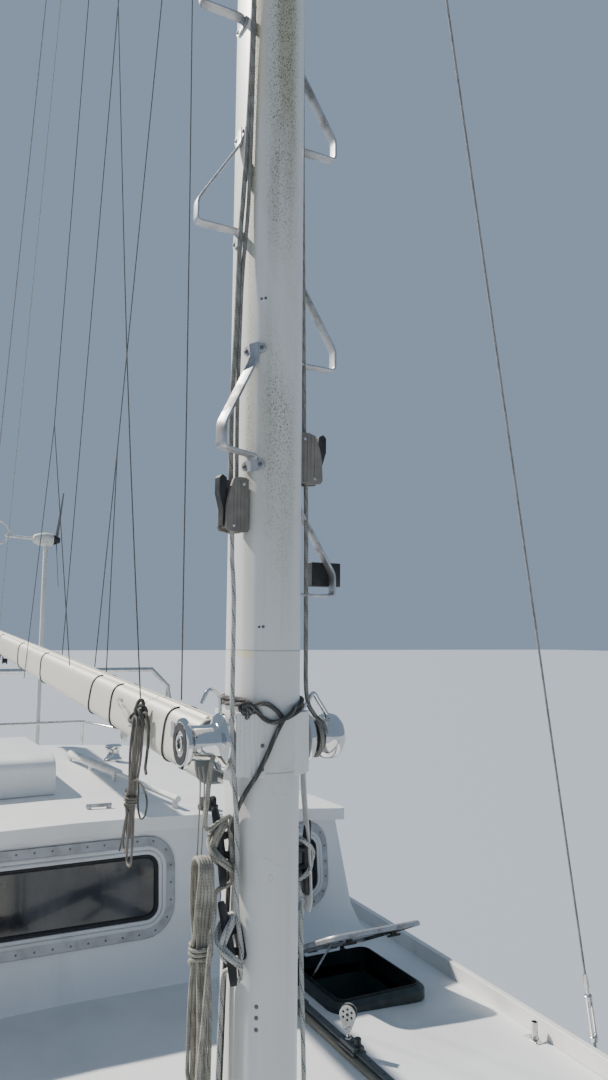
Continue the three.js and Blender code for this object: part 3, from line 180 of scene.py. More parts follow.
def trefoil(place: Matrix, size: float, scale: Sequence[float] = (1, 1, 1),
            lift: float = 0.0) -> list[Vector]:
    """A closed overhand knot.

    Args:
        place: the knot's frame.
        size: its size.
        scale: stretch along each axis.
        lift: shift along the third axis, as a share of the size.

    Returns:
        The route's points.
    """
    loop = []
    for k in range(60):
        a = tau * k / 60
        loop.append(place @ Vector(((sin(a) + 2 * sin(2 * a)) * size * scale[0],
                                    (cos(a) - 2 * cos(2 * a)) * size * scale[1],
                                    (lift - sin(3 * a)) * size * scale[2])))
    return loop


def spline(knots: Iterable[Sequence[float]], per: int = 8, closed: bool = False) -> list[Vector]:
    """A smooth route through the knots.

    Args:
        knots: points that it passes through.
        per: steps from one knot to the next.
        closed: whether the route joins its own start.

    Returns:
        The route's points.
    """
    spots = [Vector(knot) for knot in knots]
    count = len(spots)
    route = []
    for i in range(count if closed else count - 1):
        picks = [(i + k - 1) % count if closed else min(max(i + k - 1, 0), count - 1) for k in range(4)]
        a, b, c, d = (spots[pick] for pick in picks)
        for step in range(per):
            t = step / per
            route.append(0.5 * (2 * b + (c - a) * t + (2 * a - 5 * b + 4 * c - d) * t**2
                                + (3 * b - a - 3 * c + d) * t**3))
    return route if closed else [*route, spots[-1]]


def length_of(route: Sequence[Vector]) -> float:
    """The length of a route."""
    return sum((b - a).length for a, b in zip(route, route[1:]))


def spaced(route: Sequence[Vector], count: int, closed: bool = False) -> list[tuple[Vector, Vector]]:
    """Evenly spaced places along a route.

    Args:
        route: the route's points.
        count: number of places.
        closed: whether the route joins its own start.

    Returns:
        Each place and the route's direction there.
    """
    line = [*route, route[0]] if closed else list(route)
    whole = length_of(line)
    step = whole / count if closed else whole / max(count - 1, 1)
    places, walked, i = [], 0.0, 0
    for k in range(count):
        target = min(k * step, whole - 1e-9)
        while walked + (line[i + 1] - line[i]).length < target:
            walked += (line[i + 1] - line[i]).length
            i += 1
        run = line[i + 1] - line[i]
        places.append((line[i] + run * ((target - walked) / run.length), run.normalized()))
    return places


class Sketch:
    """Points and faces gathered for one mesh, with each point's turn round its rope and place along it."""

    def __init__(self) -> None:
        """An empty sketch."""
        self.points: list[Vector] = []
        self.faces: list[tuple[int, ...]] = []
        self.lay: list[Point] = []

    def add(self, points: Iterable[Sequence[float]], faces: Iterable[Sequence[int]],
            lay: Sequence[Point] | None = None) -> Sketch:
        """Adds points and the faces between them.

        Args:
            points: the new points.
            faces: their faces, counted from the first new point.
            lay: each point's cosine and sine round its strand and its place along it.

        Returns:
            The sketch itself.
        """
        base = len(self.points)
        self.points += [Vector(point) for point in points]
        self.faces += [tuple(base + i for i in face) for face in faces]
        fresh = len(self.points) - base
        self.lay += list(lay) if lay else [(0.0, 0.0, 0.0)] * fresh
        return self

    def loft(self, rings: Sequence[Sequence[Sequence[float]]], wrap: bool = False, caps: bool = True,
             lay: Sequence[Point] | None = None) -> Sketch:
        """A skin over rings that all have the same number of points.

        Args:
            rings: the rings in order.
            wrap: whether the last ring joins the first.
            caps: whether the ends are closed.
            lay: see add.

        Returns:
            The sketch itself.
        """
        count, total = len(rings[0]), len(rings)
        faces = []
        for r in range(total if wrap else total - 1):
            here, there = r * count, (r + 1) % total * count
            for i in range(count):
                j = (i + 1) % count
                faces.append((here + i, here + j, there + j, there + i))
        if caps and not wrap:
            faces += [tuple(reversed(range(count))), tuple(range((total - 1) * count, total * count))]
        return self.add([point for ring in rings for point in ring], faces, lay)

    def sweep(self, route: Sequence[Sequence[float]], section: Sequence[Pair], across: Vector | None = None,
              wrap: bool = False, scale: Callable[[float], float] | None = None) -> Sketch:
        """A section carried along a route without twist.

        Args:
            route: the route's points.
            section: the outline, as pairs across and above the route.
            across: fixed direction of the section's first axis, for straps bent in one plane.
            wrap: whether the route joins its own start.
            scale: size of the section at each share of the route.

        Returns:
            The sketch itself.
        """
        path = [Vector(point) for point in route]
        count = len(path)
        side = Vector(across) if across else None
        rings, lay, walked = [], [], 0.0
        for i, point in enumerate(path):
            before = path[i - 1] if wrap or i else point
            after = path[(i + 1) % count] if wrap or i + 1 < count else point
            along = (after - before).normalized()
            if across is None:
                seed = side if side else (UP if abs(along.z) < 0.9 else FORWARD)
                side = (seed - along * seed.dot(along)).normalized()
            above = along.cross(side).normalized()
            size = scale(i / max(count - 1, 1)) if scale else 1.0
            if i:
                walked += (point - path[i - 1]).length
            rings.append([point + side * (u * size) + above * (v * size) for u, v in section])
            for u, v in section:
                reach = hypot(u, v) or 1.0
                lay.append((u / reach, v / reach, walked))
        return self.loft(rings, wrap, True, lay)

    def tube(self, route: Sequence[Sequence[float]], radius: float, sides: int = 10,
             wrap: bool = False) -> Sketch:
        """A round tube, wire or rope along a route."""
        return self.sweep(route, circle(radius, sides), wrap=wrap)

    def turn(self, place: Matrix, profile: Sequence[Pair], sides: int = 32, wrap: bool = False) -> Sketch:
        """A turned piece.

        Args:
            place: frame whose third axis is the piece's axis.
            profile: pairs of radius and height.
            sides: number of sides.
            wrap: whether the profile closes on itself, as a ring's does.

        Returns:
            The sketch itself.
        """
        rings = []
        for radius, height in profile:
            rings.append([place @ Vector((u, v, height)) for u, v in circle(max(radius, 1e-4), sides)])
        return self.loft(rings, wrap)

    def plate(self, place: Matrix, outline: Sequence[Pair], depth: float, base: float = 0.0,
              holes: Sequence[Sequence[Pair]] = ()) -> Sketch:
        """A flat piece of one thickness.

        Args:
            place: frame whose third axis goes through the plate.
            outline: its outline in the frame's first two axes.
            depth: its thickness.
            base: height of its lower face.
            holes: outlines of the holes through it.

        Returns:
            The sketch itself.
        """
        loops = [list(outline), *[list(hole) for hole in holes]]
        flat = [pair for loop in loops for pair in loop]
        count = len(flat)
        points = [place @ Vector((u, v, height)) for height in (base, base + depth) for u, v in flat]
        faces: list[tuple[int, ...]] = []
        start = 0
        for loop in loops:
            size = len(loop)
            for i in range(size):
                a, b = start + i, start + (i + 1) % size
                faces.append((a, b, b + count, a + count))
            start += size
        if holes:
            for face in tessellate_polygon([[Vector((u, v, 0)) for u, v in loop] for loop in loops]):
                faces += [tuple(reversed(face)), tuple(i + count for i in face)]
        else:
            faces += [tuple(reversed(range(count))), tuple(range(count, 2 * count))]
        return self.add(points, faces)

    def block(self, low: Sequence[float], high: Sequence[float]) -> Sketch:
        """A box between two corners."""
        middle = [(a + b) / 2 for a, b in zip(low, high)]
        size = [abs(b - a) for a, b in zip(low, high)]
        place = moved(middle[0], middle[1], min(low[2], high[2]))
        return self.plate(place, [(-size[0] / 2, -size[1] / 2), (size[0] / 2, -size[1] / 2),
                                  (size[0] / 2, size[1] / 2), (-size[0] / 2, size[1] / 2)], size[2])

    def bolt(self, place: Matrix, radius: float, height: float, sides: int = 12) -> Sketch:
        """A low domed bolt or rivet head on a surface."""
        return self.turn(place, [(radius, -height), (radius, height * 0.35), (radius * 0.8, height * 0.8),
                                 (radius * 0.3, height)], sides)

    def rim(self, place: Matrix, size: Point, profile: Sequence[Pair], steps: int = 6) -> Sketch:
        """A ring that follows a rounded rectangle.

        Args:
            place: frame of the rectangle.
            size: width, height and corner radius of its outer edge.
            profile: pairs of distance inside that edge and height, round the ring's section.
            steps: straight pieces in each corner.

        Returns:
            The sketch itself.
        """
        width, height, corner = size
        rings = []
        for inside, level in profile:
            outline = rounded(width - 2 * inside, height - 2 * inside, max(corner - inside, 0.004), steps)
            rings.append([place @ Vector((u, v, level)) for u, v in outline])
        return self.loft(rings, wrap=True)


# Shader sockets and node trees


class Value:
    """A shader socket that arithmetic works on: an expression adds the Math nodes that it needs."""

    def __init__(self, tree: Tree, socket: bpy.types.NodeSocket) -> None:
        """Wraps one output socket of a tree."""
        self.tree = tree
        self.socket = socket

    def __add__(self, other: Number) -> Value:
        """The sum."""
        return self.tree.math("ADD", self, other)

    def __radd__(self, other: Number) -> Value:
        """The sum, from the right."""
        return self.tree.math("ADD", other, self)

    def __sub__(self, other: Number) -> Value:
        """The difference."""
        return self.tree.math("SUBTRACT", self, other)

    def __rsub__(self, other: Number) -> Value:
        """The difference, from the right."""
        return self.tree.math("SUBTRACT", other, self)

    def __mul__(self, other: Number) -> Value:
        """The product."""
        return self.tree.math("MULTIPLY", self, other)

    def __rmul__(self, other: Number) -> Value:
        """The product, from the right."""
        return self.tree.math("MULTIPLY", other, self)

    def __truediv__(self, other: Number) -> Value:
        """The quotient."""
        return self.tree.math("DIVIDE", self, other)

    def __rtruediv__(self, other: Number) -> Value:
        """The quotient, from the right."""
        return self.tree.math("DIVIDE", other, self)

    def __abs__(self) -> Value:
        """The size without its sign."""
        return self.tree.math("ABSOLUTE", self)

    def rise(self, low: float, high: float) -> Value:
        """0 below low, 1 above high and a smooth rise between; reversed where low is the larger."""
        return self.tree.node("ShaderNodeMapRange", {"interpolation_type": "SMOOTHSTEP"},
                              {"Value": self, "From Min": low, "From Max": high})


Number = Value | float


class Tree:
    """The node tree of one material."""

    def __init__(self, name: str) -> None:
        """A material with a Principled shader."""
        self.material = bpy.data.materials.new(name)
        self.material.use_nodes = True
        self.nodes = self.material.node_tree.nodes
        self.links = self.material.node_tree.links
        self.shader = self.nodes["Principled BSDF"]

    def node(self, kind: str, settings: dict[str, object] | None = None,
             inputs: dict[str | int, object] | None = None, output: str | int = 0) -> Value:
        """Any node: its settings first, then its sockets.

        Args:
            kind: the node's type.
            settings: its properties, such as a Math node's operation.
            inputs: value or link of each socket, by name or number.
            output: the output to wrap, by name or number.

        Returns:
            The wrapped output.
        """
        made = self.nodes.new(kind)
        for key, setting in (settings or {}).items():
            setattr(made, key, setting)
        for key, value in (inputs or {}).items():
            self.feed(made.inputs[key], value)
        return Value(self, made.outputs[output])

    def feed(self, socket: bpy.types.NodeSocket, value: object) -> None:
        """Links a wrapped socket into an input, or sets the input to a constant."""
        if isinstance(value, Value):
            self.links.new(value.socket, socket)
        elif isinstance(value, tuple) and socket.type == "RGBA":
            socket.default_value = (*value, 1.0)
        else:
            socket.default_value = value

    def math(self, operation: str, *values: Number) -> Value:
        """A Math node on one or two values."""
        return self.node("ShaderNodeMath", {"operation": operation}, dict(enumerate(values)))

    def mix(self, share: Number, first: Value | Colour, second: Value | Colour) -> Value:
        """A colour between two: the first at 0 and the second at 1."""
        return self.node("ShaderNodeMix", {"data_type": "RGBA"}, {0: share, 6: first, 7: second}, 2)

    def place(self, stretch: Sequence[float] = (1, 1, 1)) -> Value:
        """The place on the piece, with each axis multiplied."""
        spot = self.node("ShaderNodeTexCoord", output="Object")
        if tuple(stretch) == (1, 1, 1):
            return spot
        return self.node("ShaderNodeVectorMath", {"operation": "MULTIPLY"}, {0: spot, 1: tuple(stretch)})

    def parts(self, vector: Value) -> tuple[Value, Value, Value]:
        """The three parts of a vector."""
        split = self.node("ShaderNodeSeparateXYZ", inputs={0: vector})
        return split, *(Value(self, split.socket.node.outputs[i]) for i in (1, 2))

    def noise(self, scale: float, detail: float = 4.0, stretch: Sequence[float] = (1, 1, 1),
              roughness: float = 0.55) -> Value:
        """Noise between about 0.3 and 0.7 over the piece."""
        sockets = {"Vector": self.place(stretch), "Scale": scale, "Detail": detail, "Roughness": roughness}
        return self.node("ShaderNodeTexNoise", None, sockets)

    def spots(self, scale: float, size: float, stretch: Sequence[float] = (1, 1, 1)) -> Value:
        """Small round spots: 1 inside them, 0 outside."""
        far = self.node("ShaderNodeTexVoronoi", None, {"Vector": self.place(stretch), "Scale": scale})
        return far.rise(size, size * 0.6)

    def bump(self, height: Value, strength: float, distance: float) -> Value:
        """A normal bent by a height."""
        sockets = {"Strength": strength, "Distance": distance, "Height": height}
        return self.node("ShaderNodeBump", None, sockets)

    def surface(self, **sockets: object) -> None:
        """Feeds the shader's own sockets; an underscore in a name stands for a space."""
        for key, value in sockets.items():
            self.feed(self.shader.inputs[key.replace("_", " ")], value)


# Finishes


@dataclass(frozen=True)
class Finish:
    """One finish: its name and the record's material slot that it stands for."""

    name: str
    slot: str

    def material(self) -> bpy.types.Material:
        """The finish's material, made when it is first asked for."""
        found = bpy.data.materials.get(self.name)
        if found:
            return found
        tree = Tree(self.name)
        self.dress(tree)
        return tree.material

    def dress(self, tree: Tree) -> None:
        """Builds the finish's nodes in a tree."""
        raise NotImplementedError


@dataclass(frozen=True)
class Paint(Finish):
    """Old gloss paint with faint streaks, dirt and small chips."""

    colour: Colour
    dirt: Colour = (0.3, 0.29, 0.25)
    dirty: float = 0.35
    roughness: float = 0.38
    grain: float = 0.0

    def dress(self, tree: Tree) -> None:
        """See Finish."""
        cloud = tree.noise(2.3, 6)
        streak = tree.noise(9.0, 3, (1, 1, 0.12))
        speck = tree.spots(38, 0.1) * tree.noise(5.0, 2).rise(0.52, 0.66)
        dirt = (cloud.rise(0.45, 0.75) * 0.35 + streak.rise(0.55, 0.8) * 0.3) * self.dirty + speck * 0.35
        tone = tree.mix(tree.noise(0.9, 2).rise(0.3, 0.7), tuple(c * 0.95 for c in self.colour), self.colour)
        fine = tree.noise(420, 2) * self.grain + tree.noise(14, 3) * 0.3
        tree.surface(Base_Color=tree.mix(dirt, tone, self.dirt),
                     Roughness=cloud * 0.25 + (self.roughness - 0.1),
                     Normal=tree.bump(fine, 0.25, 0.003),
                     Coat_Weight=0.25, Coat_Roughness=0.2)


@dataclass(frozen=True)
class HullPaint(Finish):
    """White topsides, a dark boot top and antifouling below the waterline, in bands by height, and dark green
    painted shade in the hatch openings.
    """

    white: Colour = (0.78, 0.79, 0.79)
    boot: Colour = (0.018, 0.03, 0.055)
    bottom: Colour = (0.035, 0.05, 0.062)
    deck: Colour = (0.74, 0.75, 0.75)
    # Dark green painted shade inside the hatch openings
    well: Colour = (0.055, 0.105, 0.1)
    well_at: Pair = (-0.27, 1.2675)
    well_half: Pair = (0.26, 0.227)
    boot_low: float = 0.055
    boot_high: float = 0.135

    def dress(self, tree: Tree) -> None:
        """See Finish."""
        x, y, z = tree.parts(tree.place())
        facing = tree.node("ShaderNodeNewGeometry", output="Normal")
        _, _, flat = tree.parts(facing)
        cloud = tree.noise(1.6, 6)
        # The hatch openings on both sides, painted dark green: painted shade standing for the dark cabin
        # below.
        (long, wide), edge = self.well_half, 0.002
        along = abs(x - self.well_at[0]).rise(long + edge, long - edge)
        well = along * abs(abs(y) - self.well_at[1]).rise(wide + edge, wide - edge) * z.rise(0.55, 0.57)
        streak = tree.noise(7.0, 3, (1, 1, 0.1))
        stain = z.rise(0.75, 0.13) * streak.rise(0.42, 0.7) * 0.4 + cloud.rise(0.5, 0.75) * 0.12
        side = tree.mix(stain, self.white, (0.42, 0.38, 0.27))
        grime = cloud.rise(0.42, 0.72) * 0.3 + tree.spots(46, 0.11) * 0.3
        deck = tree.mix(grime, self.deck, (0.36, 0.35, 0.31))
        upper = tree.mix(flat.rise(0.5, 0.8), side, deck)
        weed = tree.mix(tree.noise(5, 8).rise(0.45, 0.7) * 0.6, self.bottom, (0.07, 0.085, 0.05))
        lower = tree.mix(z.rise(self.boot_low - 0.004, self.boot_low + 0.004), weed, self.boot)
        white = z.rise(self.boot_high - 0.004, self.boot_high + 0.004)
        grit = tree.noise(300, 2) * flat.rise(0.6, 0.9) * 0.8 + tree.noise(11, 3) * 0.3
        tree.surface(Base_Color=tree.mix(well, tree.mix(white, lower, upper), self.well),
                     Roughness=0.75 - white * 0.4 + cloud * 0.2,
                     Normal=tree.bump(grit, 0.3, 0.003), Coat_Weight=white * 0.25, Coat_Roughness=0.25)


@dataclass(frozen=True)
class SparPaint(Finish):
    """White mast paint: mildew bands and a band of painted shade on the forward face, run-off stains, seams
    and a bare patch.
    """

    colour: Colour = (0.69, 0.69, 0.67)
    axis_x: float = 1.45
    seams: tuple[float, float] = (2.768, 2.496)

    def dress(self, tree: Tree) -> None:
        """See Finish."""
        x, y, z = tree.parts(tree.place())
        angle = tree.math("ARCTAN2", y, x - self.axis_x)
        front = abs(angle + 0.1).rise(0.55, 0.12)
        # A band down the forward starboard quarter, beside where the sun's light ends on the mast: it carries
        # mildew and painted shade.
        edge = abs(angle + 0.85).rise(0.22, 0.04)
        high = z.rise(2.7, 3.6)
        cloud = tree.noise(5.0, 5, (1, 1, 0.25))
        black = tree.spots(200, 0.36, (1, 1, 0.6)) * 0.9 + tree.spots(420, 0.42, (1, 1, 0.5)) * 0.8
        mildew = black * (front * 0.9 + edge * 1.0) * high * cloud.rise(0.28, 0.5)
        run = tree.noise(24, 4, (1, 1, 0.06)).rise(0.35, 0.62) * 0.65 + 0.45
        # The film darkens towards olive: the forward face in patches over a small fixed share, and the band
        # as painted shade, in patches above and by a fixed share all the way up.
        film = (front * 0.74 + edge * 0.6) * (high * cloud.rise(0.22, 0.5) + 0.15) * run + edge * 0.12
        scored = tree.noise(6.5, 2, (1, 1, 0.8))
        scratch = abs(scored - 0.5).rise(0.0022, 0.0006) * cloud.rise(0.5, 0.58) * z.rise(2.6, 2.4) * 0.45
        streak = tree.noise(30, 4, (1, 1, 0.04)).rise(0.5, 0.72) * 0.3
        cream = abs(angle + 0.8).rise(0.42, 0.1) * high * cloud.rise(0.3, 0.6) * 0.7
        seam = abs(z - self.seams[0]).rise(0.0022, 0.001) + abs(z - self.seams[1]).rise(0.002, 0.001)
        patch = abs(z - self.seams[0] + 0.008).rise(0.01, 0.008) * abs(angle + 0.95).rise(0.34, 0.3)
        smudge = tree.noise(9, 6).rise(0.58, 0.72) * 0.14
        tone = tree.mix(cream, tree.mix(streak, self.colour, (0.52, 0.52, 0.49)), (0.66, 0.58, 0.38))
        tone = tree.mix(patch * 0.8, tone, (0.72, 0.66, 0.45))
        tone = tree.mix(film + smudge, tone, (0.38, 0.36, 0.25))
        tone = tree.mix(mildew + scratch, tone, (0.11, 0.105, 0.07))
        tree.surface(Base_Color=tree.mix(seam * 0.5, tone, (0.2, 0.2, 0.19)),
                     Roughness=0.42 + mildew * 0.3 + cloud * 0.12,
                     Normal=tree.bump(cloud * 0.3 + tree.noise(160, 3) * 0.25 - seam, 0.18, 0.002),
                     Coat_Weight=0.12, Coat_Roughness=0.3)


@dataclass(frozen=True)
class BoomPaint(Finish):
    """Cream boom paint, chalky in patches and grimy along its length."""

    colour: Colour = (0.74, 0.69, 0.56)

    def dress(self, tree: Tree) -> None:
        """See Finish."""
        streak = tree.noise(14, 5, (0.12, 1, 1))
        cloud = tree.noise(3.0, 6)
        dirt = streak.rise(0.5, 0.75) * 0.4 + tree.spots(120, 0.28) * cloud.rise(0.45, 0.65) * 0.6
        tone = tree.mix(cloud.rise(0.35, 0.65), self.colour, tuple(c * 1.08 for c in self.colour))
        tree.surface(Base_Color=tree.mix(dirt, tone, (0.3, 0.28, 0.22)),
                     Roughness=0.4 + cloud * 0.2,
                     Normal=tree.bump(streak * 0.3 + tree.noise(200, 2) * 0.15, 0.2, 0.002))


@dataclass(frozen=True)
class Metal(Finish):
    """Metal with dull patches, fine scratches and stains in it."""

    colour: Colour
    roughness: float = 0.3
    stain: Colour = (0.12, 0.11, 0.09)
    stained: float = 0.3
    metallic: float = 1.0
    scratch: float = 0.2

    def dress(self, tree: Tree) -> None:
        """See Finish."""
        cloud = tree.noise(18, 6)
        lines = tree.noise(160, 4, (1, 1, 0.15))
        dull = cloud.rise(0.42, 0.68) * self.stained + tree.spots(210, 0.24) * self.stained * 0.8
        tree.surface(Base_Color=tree.mix(dull, self.colour, self.stain),
                     Metallic=self.metallic, Roughness=self.roughness + dull * 0.35 + lines * 0.12 - 0.06,
                     Normal=tree.bump(lines, self.scratch, 0.001))


@dataclass(frozen=True)
class Glass(Finish):
    """Dark glass or acrylic with dust and dried spray."""

    colour: Colour
    alpha: float = 1.0
    haze: float = 0.25

    def dress(self, tree: Tree) -> None:
        """See Finish."""
        film = tree.noise(3.2, 6, (1, 1, 0.4)).rise(0.42, 0.75) * self.haze
        drops = tree.spots(90, 0.16) * 0.25 * self.haze
        tree.surface(Base_Color=tree.mix(film + drops, self.colour, (0.34, 0.36, 0.36)),
                     Roughness=0.06 + film * 0.45 + drops, Alpha=self.alpha, IOR=1.5,
                     Coat_Weight=0.4, Coat_Roughness=0.03)


@dataclass(frozen=True)
class Plastic(Finish):
    """Moulded plastic or rubber, faded in patches."""

    colour: Colour
    faded: Colour
    roughness: float = 0.55

    def dress(self, tree: Tree) -> None:
        """See Finish."""
        cloud = tree.noise(24, 6)
        lines = tree.noise(90, 4, (1, 1, 0.1))
        fade = cloud.rise(0.4, 0.7) * 0.7 + lines.rise(0.5, 0.7) * 0.2
        tree.surface(Base_Color=tree.mix(fade, self.colour, self.faded),
                     Roughness=self.roughness + cloud * 0.2 - 0.1,
                     Normal=tree.bump(tree.noise(380, 2) * 0.5 + lines * 0.5, 0.25, 0.001))


@dataclass(frozen=True)
class Timber(Finish):
    """Weathered timber, its grain along the boat or up and down."""

    colour: Colour
    grey: Colour = (0.36, 0.33, 0.28)
    upright: bool = False

    def dress(self, tree: Tree) -> None:
        """See Finish."""
        grain = tree.noise(60, 6, (1, 1, 0.05) if self.upright else (0.05, 1, 1))
        board = tree.noise(4, 3, (1, 2, 0.2) if self.upright else (0.2, 2, 1))
        tone = tree.mix(board.rise(0.35, 0.65), self.colour, self.grey)
        dark = tuple(c * 0.4 for c in self.colour)
        tree.surface(Base_Color=tree.mix(grain.rise(0.45, 0.65) * 0.55, tone, dark),
                     Roughness=0.6 + grain * 0.25, Normal=tree.bump(grain, 0.35, 0.002))


@dataclass(frozen=True)
class Braid(Finish):
    """Braided rope: crossing plaits with flecks of another yarn, grey with dirt, and painted shade between
    the plaits.
    """

    pale: Colour
    fleck: Colour
    dirt: Colour = (0.16, 0.15, 0.13)
    dirty: float = 0.45
    plaits: int = 8
    pitch: float = 0.014
    crossing: bool = True

    def dress(self, tree: Tree) -> None:
        """See Finish."""
        lay = tree.node("ShaderNodeAttribute", {"attribute_name": "lay"}, output="Vector")
        cosine, sine, along = tree.parts(lay)
        turn = tree.math("ARCTAN2", sine, cosine) * (self.plaits / tau)
        right = tree.math("FRACT", turn + along / self.pitch + 100.0)
        left = tree.math("FRACT", turn - along / self.pitch + 100.0) if self.crossing else right
        ridge = 1 - abs(right - 0.5) * abs(left - 0.5) * 4
        tracer = tree.math("FRACT", (turn + along / self.pitch) / 4 + 100.0).rise(0.3, 0.2)
        worn = tree.noise(30, 5)
        # Painted shade in the grooves between the plaits, drawn in a darkened dirt colour.
        gap = (1 - ridge).rise(0.25, 0.8)
        tone = tree.mix(tracer * left.rise(0.35, 0.55) * 0.9, self.pale, self.fleck)
        tone = tree.mix(worn.rise(0.4, 0.68) * self.dirty, tone, self.dirt)
        tree.surface(Base_Color=tree.mix(gap * 0.6, tone, tuple(c * 0.35 for c in self.dirt)),
                     Roughness=0.92, Normal=tree.bump(ridge + tree.noise(900, 2) * 0.3, 0.6, 0.0012))


@dataclass(frozen=True)
class FloorFinish(Finish):
    """The studio's plain pale floor."""

    colour: Colour = (0.34, 0.38, 0.43)

    def dress(self, tree: Tree) -> None:
        """See Finish."""
        tree.surface(Base_Color=self.colour, Roughness=0.8)


HULL = HullPaint("hull_paint_bands", "hull_paint")
HOUSE_PAINT = Paint("house_paint", "hull_paint", (0.8, 0.81, 0.81), dirty=0.3, roughness=0.32)
ROOF_PAINT = Paint("roof_paint", "deck_paint", (0.82, 0.82, 0.8), dirty=0.4, roughness=0.42, grain=0.25)
BOTTOM_PAINT = Paint("antifouling", "bottom_paint", (0.035, 0.05, 0.062), (0.07, 0.085, 0.05), 1.4, 0.75, 0.6)
HOUSE_TRIM = Paint("window_trim_paint", "alloy", (0.66, 0.67, 0.68), dirty=0.8, roughness=0.3)
MAST_PAINT = SparPaint("mast_paint", "spar_paint")
PAD_PAINT = Paint("pad_paint", "spar_paint", (0.74, 0.74, 0.71), dirty=0.7, roughness=0.4)
BOOM_PAINT = BoomPaint("boom_paint", "boom_paint")
ALLOY = Metal("weathered_alloy", "alloy", (0.5, 0.51, 0.53), 0.48, (0.2, 0.19, 0.17), 0.6, 0.85, 0.3)
FLANGE = Metal("window_alloy", "alloy", (0.34, 0.36, 0.39), 0.42, (0.24, 0.2, 0.16), 0.3, 0.85, 0.2)
DARK_ALLOY = Metal("dark_alloy", "alloy", (0.13, 0.14, 0.145), 0.5, (0.2, 0.21, 0.19), 0.5, 0.6, 0.3)
STEEL = Metal("stainless", "steel", (0.62, 0.62, 0.61), 0.22, (0.28, 0.22, 0.15), 0.25)
CHROME = Metal("polished_chrome", "steel", (0.68, 0.68, 0.67), 0.08, (0.3, 0.25, 0.18), 0.12, scratch=0.05)
WIRE_STEEL = Braid("laid_wire", "steel", (0.33, 0.33, 0.33), (0.2, 0.2, 0.2), (0.12, 0.11, 0.1), 0.5, 6,
    0.05, False)
BASE_STRIP = Plastic("weathered_strip", "wood", (0.34, 0.3, 0.22), (0.2, 0.19, 0.16), 0.8)
BRONZE = Metal("bronze", "bronze", (0.42, 0.29, 0.13), 0.35, (0.1, 0.16, 0.12), 0.6)
PANE = Glass("dark_window_glass", "window_glass", (0.008, 0.011, 0.016), haze=0.14)
SMOKED = Glass("smoked_acrylic", "smoked_plastic", (0.05, 0.075, 0.085), alpha=0.86, haze=0.5)
BLACK = Plastic("black_plastic", "dark_plastic", (0.012, 0.012, 0.013), (0.05, 0.05, 0.05))
SEA_GREEN = Plastic("dark_green_plastic", "dark_plastic", (0.01, 0.02, 0.021), (0.035, 0.055, 0.055), 0.5)
RUBBER = Plastic("window_rubber", "dark_plastic", (0.01, 0.01, 0.011), (0.03, 0.03, 0.03), 0.7)
CLUTCH_PLASTIC = Plastic("faded_composite", "composite", (0.16, 0.145, 0.125), (0.24, 0.22, 0.195), 0.62)
WHITE_PLASTIC = Plastic("white_plastic", "composite", (0.72, 0.71, 0.67), (0.5, 0.49, 0.45), 0.5)
TEAK = Timber("teak", "wood", (0.33, 0.2, 0.1))
UPRIGHT_TEAK = Timber("upright_teak", "wood", (0.33, 0.2, 0.1), upright=True)
CLOTH_WHITE = Plastic("white_webbing", "rope", (0.68, 0.68, 0.66), (0.5, 0.5, 0.47), 0.9)
PALE_ROPE = Braid("pale_flecked_braid", "rope", (0.52, 0.52, 0.49), (0.07, 0.1, 0.12), dirty=0.35)
GREY_ROPE = Braid("grey_braid", "rope", (0.3, 0.29, 0.26), (0.1, 0.1, 0.09), dirty=0.6)
CREAM_ROPE = Braid("cream_braid", "rope", (0.4, 0.38, 0.32), (0.18, 0.17, 0.14), dirty=0.6)
HANK_ROPE = Braid("brown_braid", "rope", (0.17, 0.155, 0.135), (0.3, 0.29, 0.26), dirty=0.6)
DARK_LINE = Braid("dark_cord", "rope", (0.1, 0.1, 0.095), (0.2, 0.2, 0.18), dirty=0.4, plaits=6, pitch=0.008)
DARK_ROPE = Braid("dark_braid", "rope", (0.075, 0.072, 0.068), (0.26, 0.25, 0.22), (0.03, 0.03, 0.028), 0.5)
THIN_LINE = Braid("thin_cord", "rope", (0.4, 0.39, 0.35), (0.2, 0.2, 0.18), dirty=0.5, plaits=6, pitch=0.008)
FLOOR = FloorFinish("floor", "hull_paint")


